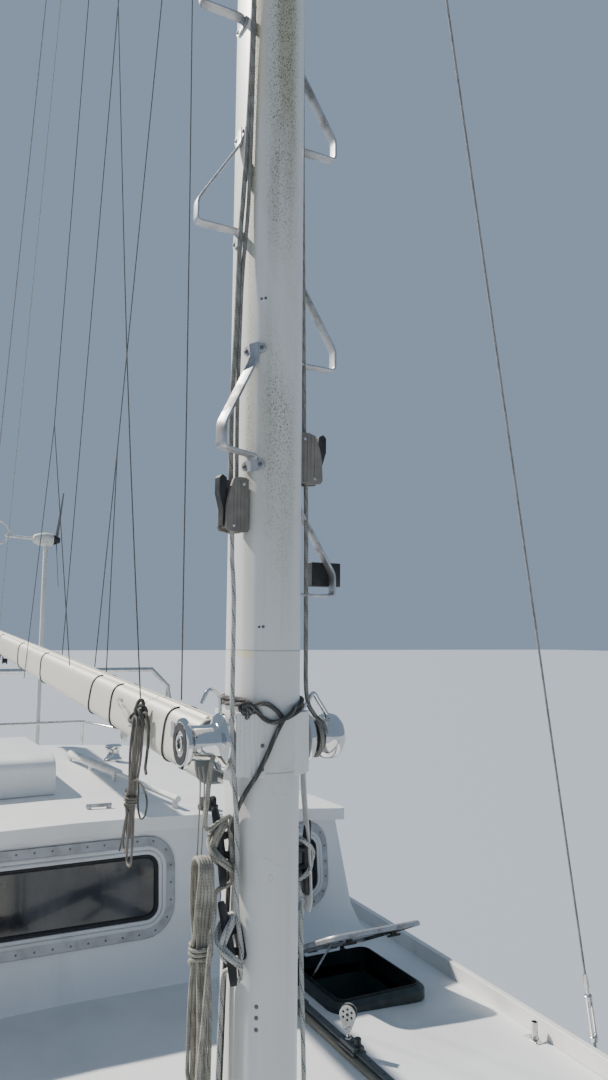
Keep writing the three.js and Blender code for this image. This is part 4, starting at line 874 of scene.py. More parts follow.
class Workshop:
    """Makes pieces from sketches and CAD nodes, dresses them and fastens them to the frame's bodies."""

    # Two X places along the lines between mast and boom; nothing reads them
    swing_x = (1.4, 1.1)

    def __init__(self) -> None:
        """A workshop that counts what it makes."""
        self.count = 0

    def piece(self, name: str, sketch: Sketch, finish: Finish, body: str = "root", smooth: float = 32.0,
              bevel: float = 0.0, replaces: Sequence[str] = ()) -> bpy.types.Object:
        """Makes one piece from a sketch.

        Args:
            name: the piece's name.
            sketch: its points and faces.
            finish: its finish.
            body: the body that it rides on, or "" for none.
            smooth: angle in degrees up to which neighbouring faces shade as one.
            bevel: width of its rounded edges, or 0 for none.
            replaces: CAD nodes that it stands for.

        Returns:
            The piece's object.
        """
        mesh = bpy.data.meshes.new(name)
        mesh.from_pydata([tuple(point) for point in sketch.points], [], sketch.faces)
        if any(any(row) for row in sketch.lay):
            attribute = mesh.attributes.new("lay", "FLOAT_VECTOR", "POINT")
            attribute.data.foreach_set("vector", [part for row in sketch.lay for part in row])
        work = bmesh.new()
        work.from_mesh(mesh)
        bmesh.ops.recalc_face_normals(work, faces=work.faces)
        work.to_mesh(mesh)
        work.free()
        return self._finish(name, mesh, finish, body, smooth, bevel, replaces)

    def hang(self, name: str, sketch: Sketch, finish: Finish) -> bpy.types.Object:
        """Makes lines from the mast to the boom as one piece, fastened to no body.

        Args:
            name: the piece's name.
            sketch: its points and faces.
            finish: its finish.

        Returns:
            The piece's object.
        """
        made = self.piece(name, sketch, finish, body="", smooth=60)
        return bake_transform(made)

    def skin(self, node: str, finish: Finish, smooth: float = 32.0, bevel: float = 0.003) -> bpy.types.Object:
        """Makes the skin of a CAD node: the same shape with its edges rounded and its curves shaded smooth.

        Args:
            node: the CAD node, which the skin stands for.
            finish: its finish.
            smooth: angle in degrees up to which neighbouring faces shade as one.
            bevel: width of its rounded edges, or 0 for none.

        Returns:
            The skin's object.
        """
        source = frame["nodes"][node]
        work = bmesh.new()
        work.from_mesh(source.data)
        bmesh.ops.remove_doubles(work, verts=work.verts, dist=2e-5)
        bmesh.ops.dissolve_limit(work, angle_limit=radians(0.6), verts=work.verts, edges=work.edges)
        bmesh.ops.recalc_face_normals(work, faces=work.faces)
        mesh = bpy.data.meshes.new(f"{node}_skin")
        work.to_mesh(mesh)
        work.free()
        return self._finish(f"{node}_skin", mesh, finish, source["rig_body"], smooth, bevel, [node])

    def _finish(self, name: str, mesh: bpy.types.Mesh, finish: Finish, body: str, smooth: float, bevel: float,
                replaces: Sequence[str]) -> bpy.types.Object:
        """Shades, dresses and fastens a new mesh; see piece and skin for the arguments."""
        mesh.shade_smooth()
        mesh.set_sharp_from_angle(angle=radians(smooth))
        mesh.materials.append(finish.material())
        made = bpy.data.objects.new(name, mesh)
        bpy.context.scene.collection.objects.link(made)
        if bevel:
            edge = made.modifiers.new("edges", "BEVEL")
            edge.width, edge.segments, edge.limit_method = bevel, 2, "ANGLE"
            edge.angle_limit = radians(max(smooth, 30.0))
            edge.harden_normals = True
        if body:
            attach(made, body)
        if replaces:
            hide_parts(*replaces)
        self.count += 1
        LOG.info("%s: %d faces on %s", name, len(mesh.polygons), body)
        return made


@dataclass
class Studio:
    """Camera, floor and light."""

    focus_pixels: float = 800.0
    image: tuple[int, int] = (608, 1080)
    sensor: float = 24.0
    camera_at: Point = (3.23, -0.8, 2.8)
    pitch: float = 6.9
    yaw: float = 27.1
    roll: float = 0.4
    sun_from: Point = (-0.81, -0.585, 0.92)
    sun_power: float = 7.5
    sun_width: float = 1.3
    sun_colour: Colour = (1.0, 0.95, 0.88)
    sky_colour: Colour = (0.56, 0.74, 1.0)
    sky_power: float = 0.44
    floor_reach: float = 150.0

    def build(self) -> None:
        """Sets up the camera, the floor and the lights."""
        scene = bpy.context.scene
        lens = bpy.data.cameras.new("camera")
        lens.sensor_fit = "VERTICAL"
        lens.sensor_height = self.sensor
        lens.lens = self.sensor * self.focus_pixels / self.image[1]
        lens.clip_start, lens.clip_end = 0.05, 400.0
        camera = bpy.data.objects.new("camera", lens)
        turned = Euler((radians(90 + self.pitch), 0, radians(90 - self.yaw))).to_matrix().to_4x4()
        camera.matrix_world = Matrix.Translation(self.camera_at) @ turned @ Matrix.Rotation(
            radians(self.roll), 4, "Z")
        scene.collection.objects.link(camera)
        scene.camera = camera

        sun = bpy.data.lights.new("sun", "SUN")
        sun.energy, sun.angle, sun.color = self.sun_power, radians(self.sun_width), self.sun_colour
        lamp = bpy.data.objects.new("sun", sun)
        lamp.rotation_euler = Vector(self.sun_from).to_track_quat("Z", "Y").to_euler()
        scene.collection.objects.link(lamp)
        world = bpy.data.worlds.new("studio")
        world.use_nodes = True
        sky = world.node_tree.nodes["Background"]
        sky.inputs["Color"].default_value = (*self.sky_colour, 1.0)
        sky.inputs["Strength"].default_value = self.sky_power
        scene.world = world

        mesh = bpy.data.meshes.new("floor")
        corners = ((-1, -1), (1, -1), (1, 1), (-1, 1))
        mesh.from_pydata([(self.floor_reach * x, self.floor_reach * y, 0) for x, y in corners], [],
            [(0, 1, 2, 3)])
        mesh.materials.append(FLOOR.material())
        floor = bpy.data.objects.new("floor", mesh)
        scene.collection.objects.link(floor)


# Hull


@dataclass
class HullWork:
    """Hull, deck, rails and what stands on the deck's edge."""

    stub_x: tuple[float, ...] = (3.6, 2.05, 0.5, -1.3, -3.0, -4.6)
    stub_height: float = 0.075

    def build(self, shop: Workshop) -> None:
        """Dresses the hull and its underwater pieces, and adds the stanchion sockets."""
        shop.skin("hull", HULL, 24, 0.004)
        for node in ("keel", "skeg", "rudder"):
            shop.skin(node, BOTTOM_PAINT, 35, 0.003)
        shop.skin("shaft_tube", BRONZE, 35, 0.002)
        shop.skin("propeller", BRONZE, 35, 0.0015)
        for side in Side:
            shop.skin(f"toe_rail_{side.label}", PAD_PAINT, 30, 0.004)
            self.sockets(shop, side)

    def sockets(self, shop: Workshop, side: Side) -> None:
        """Short stanchion sockets on the deck beside the toe rail."""
        rail = frame["nodes"][f"toe_rail_{side.label}"]
        spots = [vertex.co for vertex in rail.data.vertices]
        made = Sketch()
        for x in self.stub_x:
            near = sorted(spots, key=lambda spot: abs(spot.x - x))[:12]
            inner = min(abs(spot.y) for spot in near) - 0.035
            foot = min(spot.z for spot in near)
            place = moved(x, inner * side.sign, foot)
            made.plate(place, rounded(0.085, 0.055, 0.01), 0.01, 0.0)
            made.turn(place, [(0.019, 0.0), (0.018, 0.014), (0.0135, 0.02), (0.0135, self.stub_height),
                              (0.0105, self.stub_height), (0.0105, 0.03)], 20)
            for dx in (-0.031, 0.031):
                made.bolt(place @ moved(dx, 0, 0.01), 0.0045, 0.003)
        shop.piece(f"stanchion_sockets_{side.label}", made, STEEL, bevel=0.0008)


# Pilothouse


@dataclass
class Window:
    """One window: name of its CAD nodes, frame on the wall, sizes of flange and pane."""

    node: str
    origin: Point
    out: Point
    size: Point
    pane: Point
    bolt_pitch: float = 0.078
    band: float = 0.043

    def build(self, shop: Workshop) -> None:
        """The bolted flange, its raised trim and rubber, the bolts and the pane."""
        place = basis(self.origin, self.out)
        inner = (self.size[0] - self.pane[0]) / 2
        flange = Sketch().rim(place, self.size, [
            (0, 0.0025), (0, 0.0095), (0.0025, 0.0115), (self.band, 0.0115), (inner + 0.004, 0.011),
            (inner + 0.004, 0.0025)])
        shop.piece(f"{self.node}_flange", flange, FLANGE, replaces=[f"{self.node}_frame"])
        trim = Sketch()
        for start, width, height in ((self.band, 0.02, 0.017), (self.band + 0.021, 0.019, 0.0195)):
            trim.rim(place, self.size, [(start, 0.0105), (start + 0.001, height - 0.003),
                    (start + 0.004, height), (start + width - 0.004, height),
                    (start + width - 0.0005, height - 0.002), (start + width, 0.0105)])
        shop.piece(f"{self.node}_trim", trim, HOUSE_TRIM, smooth=50)
        start = self.band + 0.041
        rubber = Sketch().rim(place, self.size, [
            (start, 0.01), (start + 0.001, 0.0165), (start + 0.006, 0.0175), (inner + 0.006, 0.011),
            (inner + 0.008, 0.003), (inner + 0.002, 0.003), (inner + 0.001, 0.01)])
        shop.piece(f"{self.node}_rubber", rubber, RUBBER, smooth=50)
        width, height, corner = self.size
        line = rounded(width - self.band, height - self.band, corner - self.band / 2, 10)
        route = [Vector((u, v, 0)) for u, v in line]
        count = round(length_of([*route, route[0]]) / self.bolt_pitch)
        bolts = Sketch()
        for spot, _ in spaced(route, count, closed=True):
            bolts.bolt(place @ moved(spot.x, spot.y, 0.0115), 0.0052, 0.0024, 10)
        shop.piece(f"{self.node}_bolts", bolts, DARK_ALLOY)
        width, height, corner = self.pane
        glass = Sketch().plate(place, rounded(width + 0.0114, height + 0.0114, corner, 8), 0.01, -0.0078)
        shop.piece(f"{self.node}_glass", glass, PANE, replaces=[f"{self.node}_pane"])


@dataclass
class PilothouseWork:
    """The pilothouse with its windows, roof, hood, slide and door."""

    centre: Point = (0.99, 0.46, 0.145)
    centre_pane: Point = (0.8, 0.287, 0.058)
    quarter: Point = (0.7, 0.44, 0.14)
    quarter_pane: Point = (0.52, 0.265, 0.058)
    side: Point = (1.78, 0.45, 0.14)
    side_pane: Point = (1.6, 0.27, 0.058)
    roof_z: float = 1.945

    def build(self, shop: Workshop) -> None:
        """Dresses the house and adds its windows, beads and fittings."""
        shop.skin("pilothouse", HOUSE_PAINT, 25, 0.004)
        shop.skin("roof", ROOF_PAINT, 28, 0.012)
        shop.skin("sea_hood", HOUSE_PAINT, 28, 0.01)
        shop.skin("companion_slide", SMOKED, 30, 0.003)
        shop.skin("companion_door", UPRIGHT_TEAK, 30, 0.003)
        windows = [Window("window_front_centre", (-0.6544, 0, 1.614), (1, 0, 0.085), self.centre,
                self.centre_pane)]
        for side in Side:
            s = side.sign
            windows.append(Window(f"window_front_{side.label}", (-0.739, 1.08 * s, 1.575),
                    (1, 0.2092 * s, 0.085), self.quarter, self.quarter_pane))
            windows.append(Window(f"window_side_{side.label}", (-2.23, 1.5385 * s, 1.545), (-0.0159, s, 0.2),
                                  self.side, self.side_pane))
        for window in windows:
            window.build(shop)
        self.roof_fittings(shop)

    def roof_fittings(self, shop: Workshop) -> None:
        """A line organiser on the roof's front edge, a bar handle, a sleeve on the rail and a small winch."""
        roof = self.roof_z
        organiser = Sketch()
        for y in (0.662, 0.69, 0.718):
            organiser.plate(basis((-0.735, y, roof + 0.012), (0, 1, 0)), rounded(0.052, 0.062, 0.018),
                0.018, -0.009)
        organiser.block((-0.765, 0.645, roof - 0.028), (-0.705, 0.735, roof + 0.004))
        shop.piece("line_organiser", organiser, BLACK, bevel=0.002)
        handle = Sketch()
        handle.sweep([(-0.905, 0.112, roof + 0.014), (-0.895, 0.238, roof + 0.014)],
            rounded(0.018, 0.01, 0.004))
        for x, y in ((-0.904, 0.126), (-0.896, 0.224)):
            handle.turn(moved(x, y, roof - 0.004), [(0.013, 0), (0.013, 0.017), (0.008, 0.021)], 16)
        shop.piece("roof_bar_handle", handle, ALLOY, bevel=0.001)
        sleeve = Sketch()
        rail = [Vector((-2.52, 0.349, roof + 0.044)), Vector((-1.6, 0.449, roof + 0.044))]
        sleeve.sweep([rail[0].lerp(rail[1], t / 12) for t in range(13)], circle(0.026, 20))
        shop.piece("rail_sleeve", sleeve, CLOTH_WHITE, smooth=60)
        winch = Sketch().turn(moved(-2.5, 0.64, roof - 0.018), [(0.062, 0), (0.062, 0.016), (0.046, 0.032),
                (0.041, 0.052), (0.043, 0.082), (0.056, 0.094), (0.058, 0.104), (0.048, 0.112),
                (0.02, 0.114)], 48)
        shop.piece("roof_winch", winch, CHROME, smooth=40)


# Deck hatches and sheet tracks


@dataclass
class ForeHatch:
    """One deck hatch: dark coaming, rimmed acrylic lid, hinges and stay."""

    side: Side
    open_angle: float
    front_x: float = -0.03
    back_x: float = -0.51
    in_y: float = 1.06
    out_y: float = 1.475
    rim: float = 0.046
    top_z: float = 1.206
    axis: tuple[float, float] = (-0.572, 1.214)

    def build(self, shop: Workshop) -> None:
        """The coaming, the lid in its rest pose, and their fittings."""
        label, s = self.side.label, self.side.sign
        self.coaming(shop)
        hinge = moved(self.axis[0], 0, self.axis[1])
        swing = hinge @ Matrix.Rotation(-radians(self.open_angle), 4, "Y") @ hinge.inverted()
        length = self.front_x + self.rim + 0.008 - (self.axis[0] + 0.022)
        width = self.out_y - self.in_y + 2 * self.rim
        centre = (self.front_x + self.rim + 0.008 - length / 2, (self.in_y + self.out_y) / 2 * s,
            self.top_z + 0.0003)
        place = swing @ Matrix.Translation(centre)
        body = f"hatch_{label}"
        rim = Sketch().rim(place, (length, width, 0.055), [(0, 0.002), (0, 0.018), (0.006, 0.025),
                (0.012, 0.026), (0.034, 0.024), (0.036, 0.004), (0.034, 0.0)])
        for y0, y1 in ((0.3, 0.42), (0.58, 0.7)):
            low, high = (self.in_y + (self.out_y - self.in_y) * t for t in (y0, y1))
            rim.turn(swing @ basis((self.axis[0], low * s, self.axis[1]), (0, s, 0)),
                     [(0.011, 0.0), (0.011, high - low)], 20)
            rim.add([swing @ Vector(p) for p in self._arm(low * s, high * s)],
                    [(0, 1, 2, 3), (7, 6, 5, 4), (0, 4, 5, 1), (1, 5, 6, 2), (2, 6, 7, 3), (3, 7, 4, 0)])
        rim.turn(swing @ basis((self.axis[0], (self.in_y + 0.06) * s, self.axis[1]), (0, s, 0)),
                 [(0.006, 0.0), (0.006, self.out_y - self.in_y - 0.12)], 16)
        shop.piece(f"hatch_lid_rim_{label}", rim, ALLOY, body, bevel=0.001, replaces=[f"hatch_lid_{label}"])
        pane = Sketch().plate(place, rounded(length - 0.06, width - 0.06, 0.03), 0.01, 0.009)
        shop.piece(f"hatch_lid_pane_{label}", pane, SMOKED, body)
        catches = Sketch()
        for dy in (-0.12, 0.12):
            spot = place @ moved(length / 2 - 0.075, dy, 0.0)
            catches.turn(spot, [(0.016, -0.012), (0.016, 0.0088)], 20)
            catches.plate(spot, rounded(0.018, 0.07, 0.008), 0.01, -0.022)
        shop.piece(f"hatch_catches_{label}", catches, BLACK, body, bevel=0.001)
        if self.open_angle > 5:
            y = (self.in_y + 0.016) * s
            stay = Sketch().sweep([swing @ Vector((-0.08, y, self.top_z + 0.004)),
                    Vector((-0.33, y, self.top_z - 0.022))], rounded(0.012, 0.004, 0.0012, 2))
            shop.piece(f"hatch_stay_{label}", stay, STEEL, body)

    def coaming(self, shop: Workshop) -> None:
        """The low rounded coaming with its seal, and the hinge eyes behind it."""
        label, s = self.side.label, self.side.sign
        centre = ((self.front_x + self.back_x) / 2, (self.in_y + self.out_y) / 2 * s, self.top_z)
        size = (self.front_x - self.back_x + 2 * self.rim, self.out_y - self.in_y + 2 * self.rim, 0.075)
        made = Sketch().rim(Matrix.Translation(centre), size, [
            (0.0, -0.06), (0.0, -0.024), (0.004, -0.016), (0.018, -0.006), (0.022, -0.001), (0.026, 0.0),
            (0.042, 0.0), (0.046, -0.004), (0.046, -0.11), (0.04, -0.11), (0.04, -0.06)])
        for t in (0.22, 0.78):
            y = (self.in_y + (self.out_y - self.in_y) * t) * s
            made.block((self.axis[0] - 0.012, y - 0.007, 1.13), (self.back_x - self.rim + 0.012, y + 0.007,
                    self.top_z - 0.004))
            made.turn(basis((self.axis[0], y - 0.007, self.axis[1]), (0, 1, 0)), [
                (0.013, 0), (0.013, 0.014)], 20)
        shop.piece(f"hatch_coaming_{label}", made, SEA_GREEN, bevel=0.001, replaces=[f"hatch_frame_{label}"])
        inside = (centre[0] + 0.0055, centre[1], centre[2])
        seal = Sketch().rim(Matrix.Translation(inside), (size[0] - 0.076, size[1] - 0.076, 0.04), [
            (0.0, -0.001), (0.001, 0.006), (0.0025, 0.0072), (0.004, 0.006), (0.005, -0.001)])
        shop.piece(f"hatch_seal_{label}", seal, RUBBER)

    def _arm(self, low: float, high: float) -> list[Point]:
        """Corners of a hinge leaf between the pin and the lid's rim."""
        x0, x1 = self.axis[0] + 0.004, self.axis[0] + 0.04
        z0, z1 = self.top_z + 0.004, self.top_z + 0.02
        return [(x0, low, z0), (x1, low, z0), (x1, high, z0), (x0, high, z0),
                (x0, low, z1), (x1, low, z1), (x1, high, z1), (x0, high, z1)]


@dataclass
class SheetTrack:
    """A slotted track with its car, lead block and stop."""

    side: Side
    y: float = 0.905
    floor_z: float = 1.1895
    height: float = 0.024
    block_x: float = 0.312
    stop_x: float = 0.385

    def build(self, shop: Workshop) -> None:
        """The track, its car, block and stop."""
        label, s = self.side.label, self.side.sign
        low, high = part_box(f"sheet_track_{label}")
        top = self.floor_z + self.height
        y = self.y * s
        rail = Sketch()
        section = [(-0.017, 0), (0.017, 0), (0.017, 0.006), (0.007, 0.01), (0.007, 0.014), (0.016, 0.016),
            (0.016, 0.022), (0.013, 0.024), (-0.013, 0.024), (-0.016, 0.022), (-0.016, 0.016),
            (-0.007, 0.014), (-0.007, 0.01), (-0.017, 0.006)]
        floor = top - self.height
        rail.loft([[(x, y + u, floor + v) for u, v in section] for x in (low.x, high.x)])
        for x in (low.x + 0.02, high.x - 0.02):
            rail.block((x - 0.02, y - 0.019, low.z + 0.004), (x + 0.02, y + 0.019, top + 0.004))
        shop.piece(f"track_rail_{label}", rail, DARK_ALLOY, bevel=0.0008, replaces=[f"sheet_track_{label}"])
        strip = Sketch().block((low.x + 0.004, y - 0.034, floor - 0.02),
            (high.x - 0.004, y + 0.022, floor + 0.0035))
        shop.piece(f"track_base_{label}", strip, BASE_STRIP, bevel=0.001)
        # Black discs on the track's top stand for its holes: painted shade.
        holes = Sketch()
        for k in range(int((high.x - low.x - 0.1) / 0.1)):
            holes.turn(moved(low.x + 0.075 + 0.1 * k, y, top - 0.001), [(0.0048, 0), (0.0048, 0.0014)], 14)
        shop.piece(f"track_hole_shade_{label}", holes, BLACK)
        fore, aft = self.block_x + 0.088, self.block_x - 0.028
        car = Sketch().block((aft, y - 0.03, top - 0.014), (fore, y + 0.03, top - 0.003))
        car.block((aft + 0.004, y - 0.024, top - 0.003), (fore - 0.004, y + 0.024, top + 0.014))
        car.turn(moved(self.block_x + 0.03, y, top + 0.012), [(0.008, 0), (0.008, 0.01)], 16)
        shop.piece(f"track_car_{label}", car, DARK_ALLOY, bevel=0.002)
        self.lead_block(shop, y, top + 0.012)
        stop = Sketch().turn(moved(self.stop_x, y, top - 0.002), [
            (0.013, 0), (0.013, 0.018), (0.009, 0.02), (0.009, 0.024), (0.0135, 0.026), (0.0135, 0.046),
            (0.01, 0.048)], 24)
        shop.piece(f"track_stop_{label}", stop, SEA_GREEN, bevel=0.0008)

    def lead_block(self, shop: Workshop, y: float, base: float) -> None:
        """The block's perforated cheeks, sheave and swivel, turned forward and inboard."""
        radius, middle = 0.033, 0.094
        out = Vector((1, -self.side.sign, 0)).normalized()
        place = basis((self.block_x, y, base), out)
        outline = []
        for i in range(19):
            angle = radians(-24 + 228 * i / 18)
            outline.append((radius * cos(angle), middle + radius * sin(angle)))
        outline += [(-0.011, 0.03), (-0.007, 0.024), (0.007, 0.024), (0.011, 0.03)]
        spots = [(0.0195 * cos(tau * k / 6 + 0.5), middle + 0.0195 * sin(tau * k / 6 + 0.5))
                 for k in range(6)] + [(0.006, 0.052), (-0.006, 0.044)]
        holes = [[(u + cx, v + cy) for u, v in circle(0.0052, 10)] for cx, cy in spots]
        cheeks = Sketch()
        for off in (-0.0145, 0.0105):
            cheeks.plate(place @ moved(0, 0, off), outline, 0.004, 0.0, holes)
        shop.piece(f"lead_block_cheeks_{self.side.label}", cheeks, WHITE_PLASTIC)
        core = Sketch()
        core.turn(place @ moved(0, middle, -0.01), [
            (0.034, 0), (0.035, 0.004), (0.03, 0.008), (0.03, 0.012), (0.035, 0.016), (0.034, 0.02)], 32)
        core.turn(place @ moved(0, middle, -0.0155), [(0.006, 0), (0.006, 0.031)], 16)
        shop.piece(f"lead_block_core_{self.side.label}", core, BLACK, bevel=0.0006)
        swivel = Sketch().turn(moved(self.block_x, y, base - 0.004), [
            (0.014, 0), (0.014, 0.006), (0.008, 0.009), (0.008, 0.022), (0.013, 0.026), (0.011, 0.04)], 20)
        shop.piece(f"lead_block_swivel_{self.side.label}", swivel, STEEL, smooth=40)


# Mast and its fittings

MAST_X = 1.45
MAST_LONG, MAST_WIDE, MAST_POWER = 0.115, 0.078, 0.86


def mast_seat(forward: float, side: int, z: float, off: float = 0.0) -> Matrix:
    """A place on the mast's wall.

    Args:
        forward: distance forward of the mast's middle.
        side: 1 to port, -1 to starboard.
        z: height.
        off: distance out of the wall.

    Returns:
        A frame whose first axis is along the wall, second axis up and third axis out of the wall.
    """
    power = 2 / MAST_POWER
    share = abs(forward) / MAST_LONG
    y = MAST_WIDE * (1 - share**power) ** (1 / power)
    slope = copysign(share ** (power - 1), forward) / MAST_LONG
    out = Vector((slope, side * (y / MAST_WIDE) ** (power - 1) / MAST_WIDE, 0)).normalized()
    return basis(Vector((MAST_X + forward, y * side, z)) + out * off, out)


def mast_ring(z: float, sides: int, scale: float = 1.0, grow: float = 0.0) -> list[Point]:
    """The mast's section at a height, scaled or grown outwards."""
    outline = superellipse(MAST_LONG * scale + grow, MAST_WIDE * scale + grow, MAST_POWER, sides)
    return [(MAST_X + u, v, z) for u, v in outline]


@dataclass
class MastWork:
    """The mast tube with its track, foot, steps, winch pads, gooseneck fork, crane and small fittings."""

    foot_z: float = 1.19
    taper_z: float = 13.8
    top_z: float = 16.2
    pitch: float = 0.59
    steps_z: tuple[float, float] = (2.9, 3.22)
    step_count: int = 19
    reach: float = 0.122
    rise: float = 0.245
    nose: float = 0.058
    strap: tuple[float, float] = (0.03, 0.0065)
    spreaders_z: tuple[float, float] = (8.1, 12.0)
    low_step_forward: float = 0.076
    deck_z: float = 1.2058
    winch_z: float = 2.557

    def build(self, shop: Workshop) -> None:
        """Builds the mast in place of its CAD node."""
        levels = (self.foot_z, 2.768, 8.1, self.taper_z)
        rings = [*(mast_ring(z, 80) for z in levels), mast_ring(self.top_z, 80, scale=0.72)]
        shop.piece("mast_tube", Sketch().loft(rings), MAST_PAINT, replaces=["mast"])
        self.track(shop)
        self.foot(shop)
        self.steps(shop)
        self.pads(shop)
        self.masthead(shop)
        self.fork(shop)
        self.small_fittings(shop)

    def track(self, shop: Workshop) -> None:
        """The sail track up the mast's aft face."""
        back = MAST_X - MAST_LONG
        section = [(0.002, 0.009), (-0.007, 0.009), (-0.009, 0.007), (-0.009, 0.002), (-0.005, 0.0015),
                   (-0.005, -0.0015), (-0.009, -0.002), (-0.009, -0.007), (-0.007, -0.009), (0.002, -0.009)]
        rings = [[(back + u, v, z) for u, v in section] for z in (2.72, self.taper_z)]
        shop.piece("luff_track", Sketch().loft(rings), ALLOY, bevel=0.0006)

    def foot(self, shop: Workshop) -> None:
        """The deck collar and its bolted plate."""
        deck = self.deck_z
        plate = Sketch().plate(moved(MAST_X, 0, deck), rounded(0.34, 0.25, 0.03), 0.014)
        for u in (-0.145, 0.145):
            for v in (-0.1, 0.0, 0.1):
                plate.turn(moved(MAST_X + u, v, deck + 0.014), [(0.011, 0), (0.011, 0.007)], 6)
        shop.piece("mast_foot_plate", plate, STEEL, bevel=0.002)
        profile = ((0.03, 0.014), (0.03, 0.03), (0.016, 0.04), (0.01, 0.085), (0.004, 0.092), (0.001, 0.092))
        collar = Sketch().loft([mast_ring(deck + z, 64, grow=grow) for grow, z in profile])
        shop.piece("mast_boot", collar, RUBBER)

    def step_path(self) -> list[tuple[float, float]]:
        """The strap's centre line as pairs out of the wall and up, with its bends rounded."""
        half = self.strap[1] / 2
        corners = [(half, self.rise + 0.034), (half, self.rise - 0.006),
            (self.reach - half - 0.004, self.nose), (self.reach - half - 0.004, half), (half, half),
            (half, -0.034)]
        path = [corners[0]]
        for before, here, after in zip(corners, corners[1:], corners[2:]):
            a, b, c = Vector(before), Vector(here), Vector(after)
            bend = 0.011
            start, end = b + (a - b).normalized() * bend, b + (c - b).normalized() * bend
            for i in range(5):
                t = i / 4
                path.append(tuple(start * (1 - t) ** 2 + b * 2 * t * (1 - t) + end * t**2))
        return [*path, corners[-1]]

    def steps(self, shop: Workshop) -> None:
        """All the bent strap steps with their feet, bolts and treads."""
        straps, bolts, treads = Sketch(), Sketch(), Sketch()
        width, thick = self.strap
        path = self.step_path()
        section = rounded(width, thick, 0.0022, 3)
        for i in range(self.step_count):
            for side in Side:
                base = self.steps_z[0 if side is Side.PORT else 1] + i * self.pitch
                if any(base - 0.06 < z < base + self.rise + 0.06 for z in self.spreaders_z):
                    continue
                low = i == 0 and side is Side.STARBOARD
                seat = mast_seat(self.low_step_forward if low else 0.0, side.sign, base)
                along = seat.to_3x3().col[0]
                straps.sweep([seat @ Vector((0, up, out)) for out, up in path], section, across=along)
                for up in (self.rise + 0.018, -0.02):
                    for u in (-0.024, 0.024):
                        bolts.bolt(seat @ moved(u, up, 0.004), 0.0052, 0.004)
                    straps.plate(seat @ moved(0, up, 0), rounded(0.066, 0.024, 0.011, 4), 0.0045)
                for k in range(9):
                    out = 0.02 + k * 0.0105
                    spot = seat @ moved(0, thick, out)
                    treads.plate(spot, rounded(width - 0.006, 0.0018, 0.0006, 1), 0.0035)
        shop.piece("mast_steps", straps, ALLOY)
        shop.piece("mast_step_treads", treads, ALLOY)
        shop.piece("mast_step_bolts", bolts, DARK_ALLOY)
        self.step_block(shop)

    def step_block(self, shop: Workshop) -> None:
        """The small dark block on the tread of the lowest port step, with its two screws."""
        seat = mast_seat(0.0, 1, self.steps_z[0])
        box = Sketch().plate(seat @ moved(0.031, 0.0585, 0.063), rounded(0.036, 0.061, 0.003), 0.083)
        shop.piece("step_block", box, BLACK, bevel=0.0015)
        screws = Sketch()
        for up in (0.046, 0.07):
            place = basis(seat @ Vector((0.049, up, 0.104)), (1, 0, 0))
            screws.bolt(place, 0.004, 0.0015)
        shop.piece("step_block_screws", screws, BLACK)

    def pads(self, shop: Workshop) -> None:
        """The fluted winch pads that saddle the mast's sides, and the winch spindles."""
        outline = [(0.106, 0.03), (0.106, 0.042), (0.1035, 0.0515), (0.1, 0.052), (0.0985, 0.06),
            (0.095, 0.0608), (0.093, 0.069), (0.089, 0.07), (0.086, 0.0775), (0.0815, 0.0785),
            (0.078, 0.085), (0.073, 0.087), (0.07, 0.092)]
        bolts_at = ((0.105, 0.044), (0.052, 0.092))
        for side in Side:
            s = side.sign
            half = [(u, v * s) for u, v in outline]
            whole = half + [(-u, v) for u, v in reversed(half)]
            pad = Sketch().plate(moved(MAST_X, 0, self.winch_z - 0.07), whole, 0.14)
            shop.piece(f"winch_pad_{side.label}", pad, PAD_PAINT, bevel=0.001)
            heads = Sketch()
            for u, v in bolts_at:
                for along in (-1, 1):
                    forward = along > 0 and u > 0.1
                    if forward and side is Side.PORT:
                        continue
                    for z in (-0.052, 0.0) if forward else (-0.052, 0.0, 0.052):
                        out = (along, 0.55 * s, 0) if u > 0.1 else (0, s, 0)
                        heads.bolt(basis((MAST_X + u * along, v * s, self.winch_z + z), out), 0.0048, 0.0028)
            shop.piece(f"winch_pad_bolts_{side.label}", heads, DARK_ALLOY)
            spindle = Sketch().turn(basis((MAST_X, 0.085 * s, self.winch_z), (0, s, 0)),
                                    [(0.014, 0), (0.014, 0.064), (0.012, 0.067)], 24)
            shop.piece(f"winch_spindle_{side.label}", spindle, STEEL)

    def masthead(self, shop: Workshop) -> None:
        """The crane with its sheaves, and the inner stay's tang."""
        crane = Sketch()
        outline = [(-0.21, 0.008), (-0.15, 0.055), (0.1, 0.06), (0.15, 0.012), (0.15, -0.01), (-0.21, -0.01)]
        for y in (-0.026, 0.021):
            crane.plate(basis((MAST_X, y, self.top_z), (0, 1, 0)), [(-u, v) for u, v in outline], 0.005)
        for u in (-0.185, 0.125):
            crane.turn(basis((MAST_X + u, -0.016, self.top_z + 0.018), (0, 1, 0)), [
                (0.026, 0), (0.02, 0.01), (0.02, 0.022), (0.026, 0.032)], 24)
            crane.turn(basis((MAST_X + u, -0.03, self.top_z + 0.018), (0, 1, 0)),
                [(0.005, 0), (0.005, 0.06)], 12)
        crane.plate(moved(MAST_X, 0, self.top_z - 0.004), superellipse(0.088, 0.06, 0.86, 40), 0.008)
        shop.piece("masthead_crane", crane, ALLOY, bevel=0.001)
        tang = Sketch().plate(basis((MAST_X + 0.128, -0.009, 12.225), (0, 1, 0)),
            rounded(0.06, 0.05, 0.015), 0.018)
        shop.piece("inner_stay_tang", tang, STEEL, bevel=0.002)

